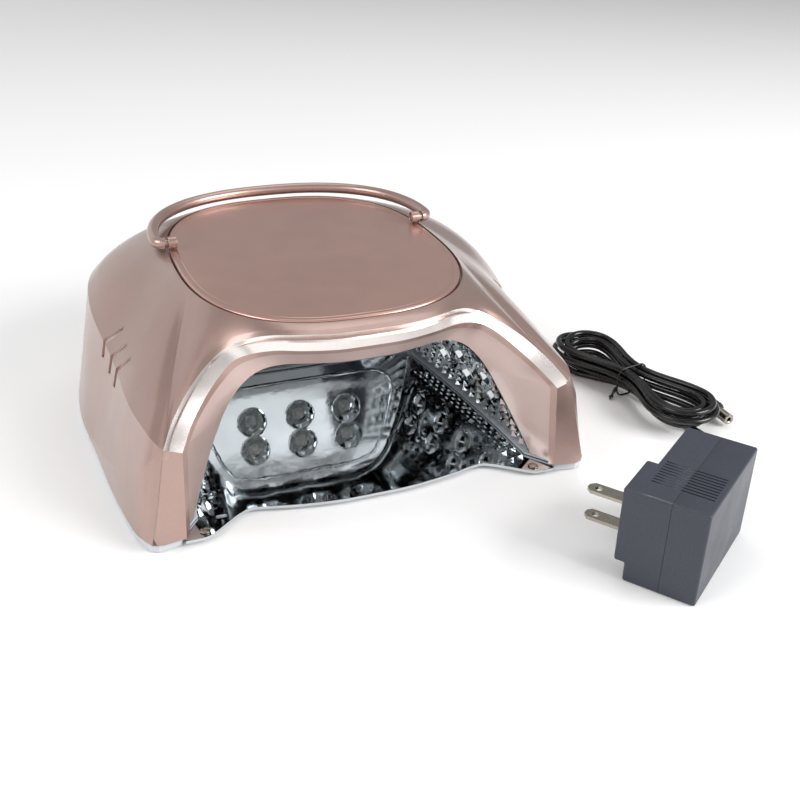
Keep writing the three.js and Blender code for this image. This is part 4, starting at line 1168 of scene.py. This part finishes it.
add_piece("tray_mirror", tray(), MIRROR, ["mirror_tray"], body="tray")
for x, side in ((RIVET_X, "right"), (-RIVET_X, "left")):
    add_piece(f"rivet_{side}", rivet(x), METAL, [f"tray_rivet_{side}"], body="tray")
add_piece("frame_ring", softened(cad_mesh("base_frame"), 0.25, 2), WHITE, ["base_frame"])
for i in range(1, 5):
    add_piece(f"foot_pad_{i}", rubber_foot(f"rubber_foot_{i}"), RUBBER, [f"rubber_foot_{i}"])
    add_piece(f"frame_screw_{i}", screw(f"base_screw_{i}"), METAL, [f"base_screw_{i}"])

# ---------- Carry handle ----------


def handle():
    """Bent tube whose ends turn in to the two pivots."""
    start = HANDLE_PIVOT_Y + HANDLE_CORNER
    bow = [(HANDLE_HALF_WIDTH * squarish(math.cos(math.pi * t), HANDLE_ROUNDNESS),
            lerp(start, HANDLE_BACK_Y, squarish(math.sin(math.pi * t), HANDLE_ROUNDNESS)))
           for t in steps(48)[1:-1]]
    corner = [(65.4, HANDLE_PIVOT_Y), (67.6, HANDLE_PIVOT_Y + 0.8), (69.2, HANDLE_PIVOT_Y + 3.4)]
    path = corner + bow + [(-x, y) for x, y in reversed(corner)]
    smooth = spaced([Vector((x, y, HANDLE_Z)) for x, y in path], 0.8)
    pin = [(0, 0), (1.8, 0), (1.8, 5.2), (1.5, 5.6), (0, 5.8)]
    pins = [lathe(pin, 24, (side * 66, HANDLE_PIVOT_Y, HANDLE_Z), (-side, 0, 0)) for side in (1, -1)]
    return joined([swept(smooth, HANDLE_RADIUS, 8), *pins])


add_piece("handle_bow", handle(), ROSE_SHELL, ["carry_handle"], body="handle")
for side in ("right", "left"):
    node = f"handle_socket_{side}"
    collar = softened(cad_mesh(node), 0.3, 2)
    add_piece(f"handle_collar_{side}", collar, ROSE_SHELL, [node])

# ---------- Rear control panel ----------

REAR_PIECES = (
    ("control_panel", "panel_plate", GLOSS_BLACK, "gloss_black", "lamp", 0.8),
    ("display_window", "panel_window", GLOSS_BLACK, "gloss_black", "lamp", 0.15),
    ("switch_housing", "switch_case", DARK, "dark_plastic", "lamp", 0.3),
    ("power_rocker", "rocker_cap", GLOSS_BLACK, "gloss_black", "rocker", 0.35),
    ("charge_jack", "jack_socket", DARK, "dark_plastic", "lamp", 0.2),
    *((f"timer_button_{i}", f"timer_cap_{i}", KEY_PAINT, "rose_gold_satin", f"timer_key_{i}", 0.4)
      for i in (1, 2, 3)),
)
for node, name, look, slot, body, width in REAR_PIECES:
    add_piece(name, softened(cad_mesh(node), width), look, [node], body=body)

# ---------- Power supply ----------


LOUVRES = 9
LOUVRE_PITCH = 2.1
FIRST_LOUVRE_X = -19


def supply_half(node):
    """Half of the supply's case with rounded outer edges and fine louvres across its top."""
    def at_parting(edge):
        return all(abs(v.co.y) < 1 for v in edge.verts)

    def inside(edge):
        half = (SUPPLY_LENGTH / 2 - 1, SUPPLY_THICKNESS / 2 - 1)
        middle = (edge.verts[0].co + edge.verts[1].co) / 2
        within = abs(middle.x) < half[0] and abs(middle.y) < half[1]
        return within and 1 < middle.z < SUPPLY_HEIGHT - 1

    shell = softened(cad_mesh(node, SUPPLY), 1.1, 4, keep=lambda e: at_parting(e) or inside(e))
    for vertex in shell.vertices:
        if abs(vertex.co.y) < GAP:
            vertex.co.y *= SEAM_SHARE
    grooves = [block(0.75, SUPPLY_THICKNESS - 5, 1.2, FIRST_LOUVRE_X + LOUVRE_PITCH * i, 0, SUPPLY_HEIGHT)
               for i in range(LOUVRES)]
    return cut(shell, joined(grooves))


for half in ("plug", "back"):
    node = f"supply_{half}_half"
    add_piece(f"supply_case_{half}", supply_half(node), DARK, [node], to_frame=SUPPLY)
for level in ("upper", "lower"):
    node = f"plug_blade_{level}"
    blade = softened(cad_mesh(node, SUPPLY), 0.22, 2)
    add_piece(f"blade_{level}", blade, METAL, [node], to_frame=SUPPLY)

# ---------- Parts that stay as they are, inside the lamp and the supply ----------


def dress(node, look):
    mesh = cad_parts[node].data
    mesh.materials.clear()
    mesh.materials.append(look)


for node, look in (("timer_display", BOARD_WHITE), ("control_board", GREEN), ("battery_pack", CELL),
                   ("battery_lead", RUBBER), ("led_lead", RUBBER), ("supply_circuit", GREEN)):
    dress(node, look)

# ---------- Floor and light ----------


def add_floor():
    mesh = prism([(-4, -4), (4, -4), (4, 4), (-4, 4)], -0.01, 0)
    floor = bpy.data.objects.new("floor", mesh)
    mesh.materials.append(material("floor_white", "#fbfbfb", 0.8, tint=0.004, tint_scale=2, gloss=0.05))
    scene.collection.objects.link(floor)


def add_area_light(name, place, target, size, power):
    data = bpy.data.lights.new(name, "AREA")
    data.shape = "RECTANGLE"
    data.size, data.size_y = size
    data.energy = power
    light = bpy.data.objects.new(name, data)
    light.location = place
    light.rotation_euler = (Vector(target) - Vector(place)).to_track_quat("-Z", "Y").to_euler()
    scene.collection.objects.link(light)


def add_world():
    world = bpy.data.worlds.new("studio")
    world.use_nodes = True
    background = world.node_tree.nodes["Background"]
    background.inputs["Color"].default_value = (1, 1, 1, 1)
    background.inputs["Strength"].default_value = 0.36
    scene.world = world


add_floor()
add_world()
add_area_light("key_light", (1.1, -1.0, 0.8), (0.05, 0, 0.03), (1.0, 0.8), 26)
add_area_light("front_light", (-0.7, -1.5, 0.9), (0, 0, 0.03), (1.8, 1.0), 4)
add_area_light("left_light", (-1.1, -0.2, 0.9), (0, 0, 0.04), (0.9, 0.7), 9)
add_area_light("back_left_panel", (-0.9, 1.5, 0.6), (0, 0, 0.04), (2.2, 1.4), 4)
add_area_light("top_light", (0.4, 0.5, 1.4), (0, 0, 0.04), (1.0, 0.8), 4)
scene.view_settings.view_transform = "Standard"
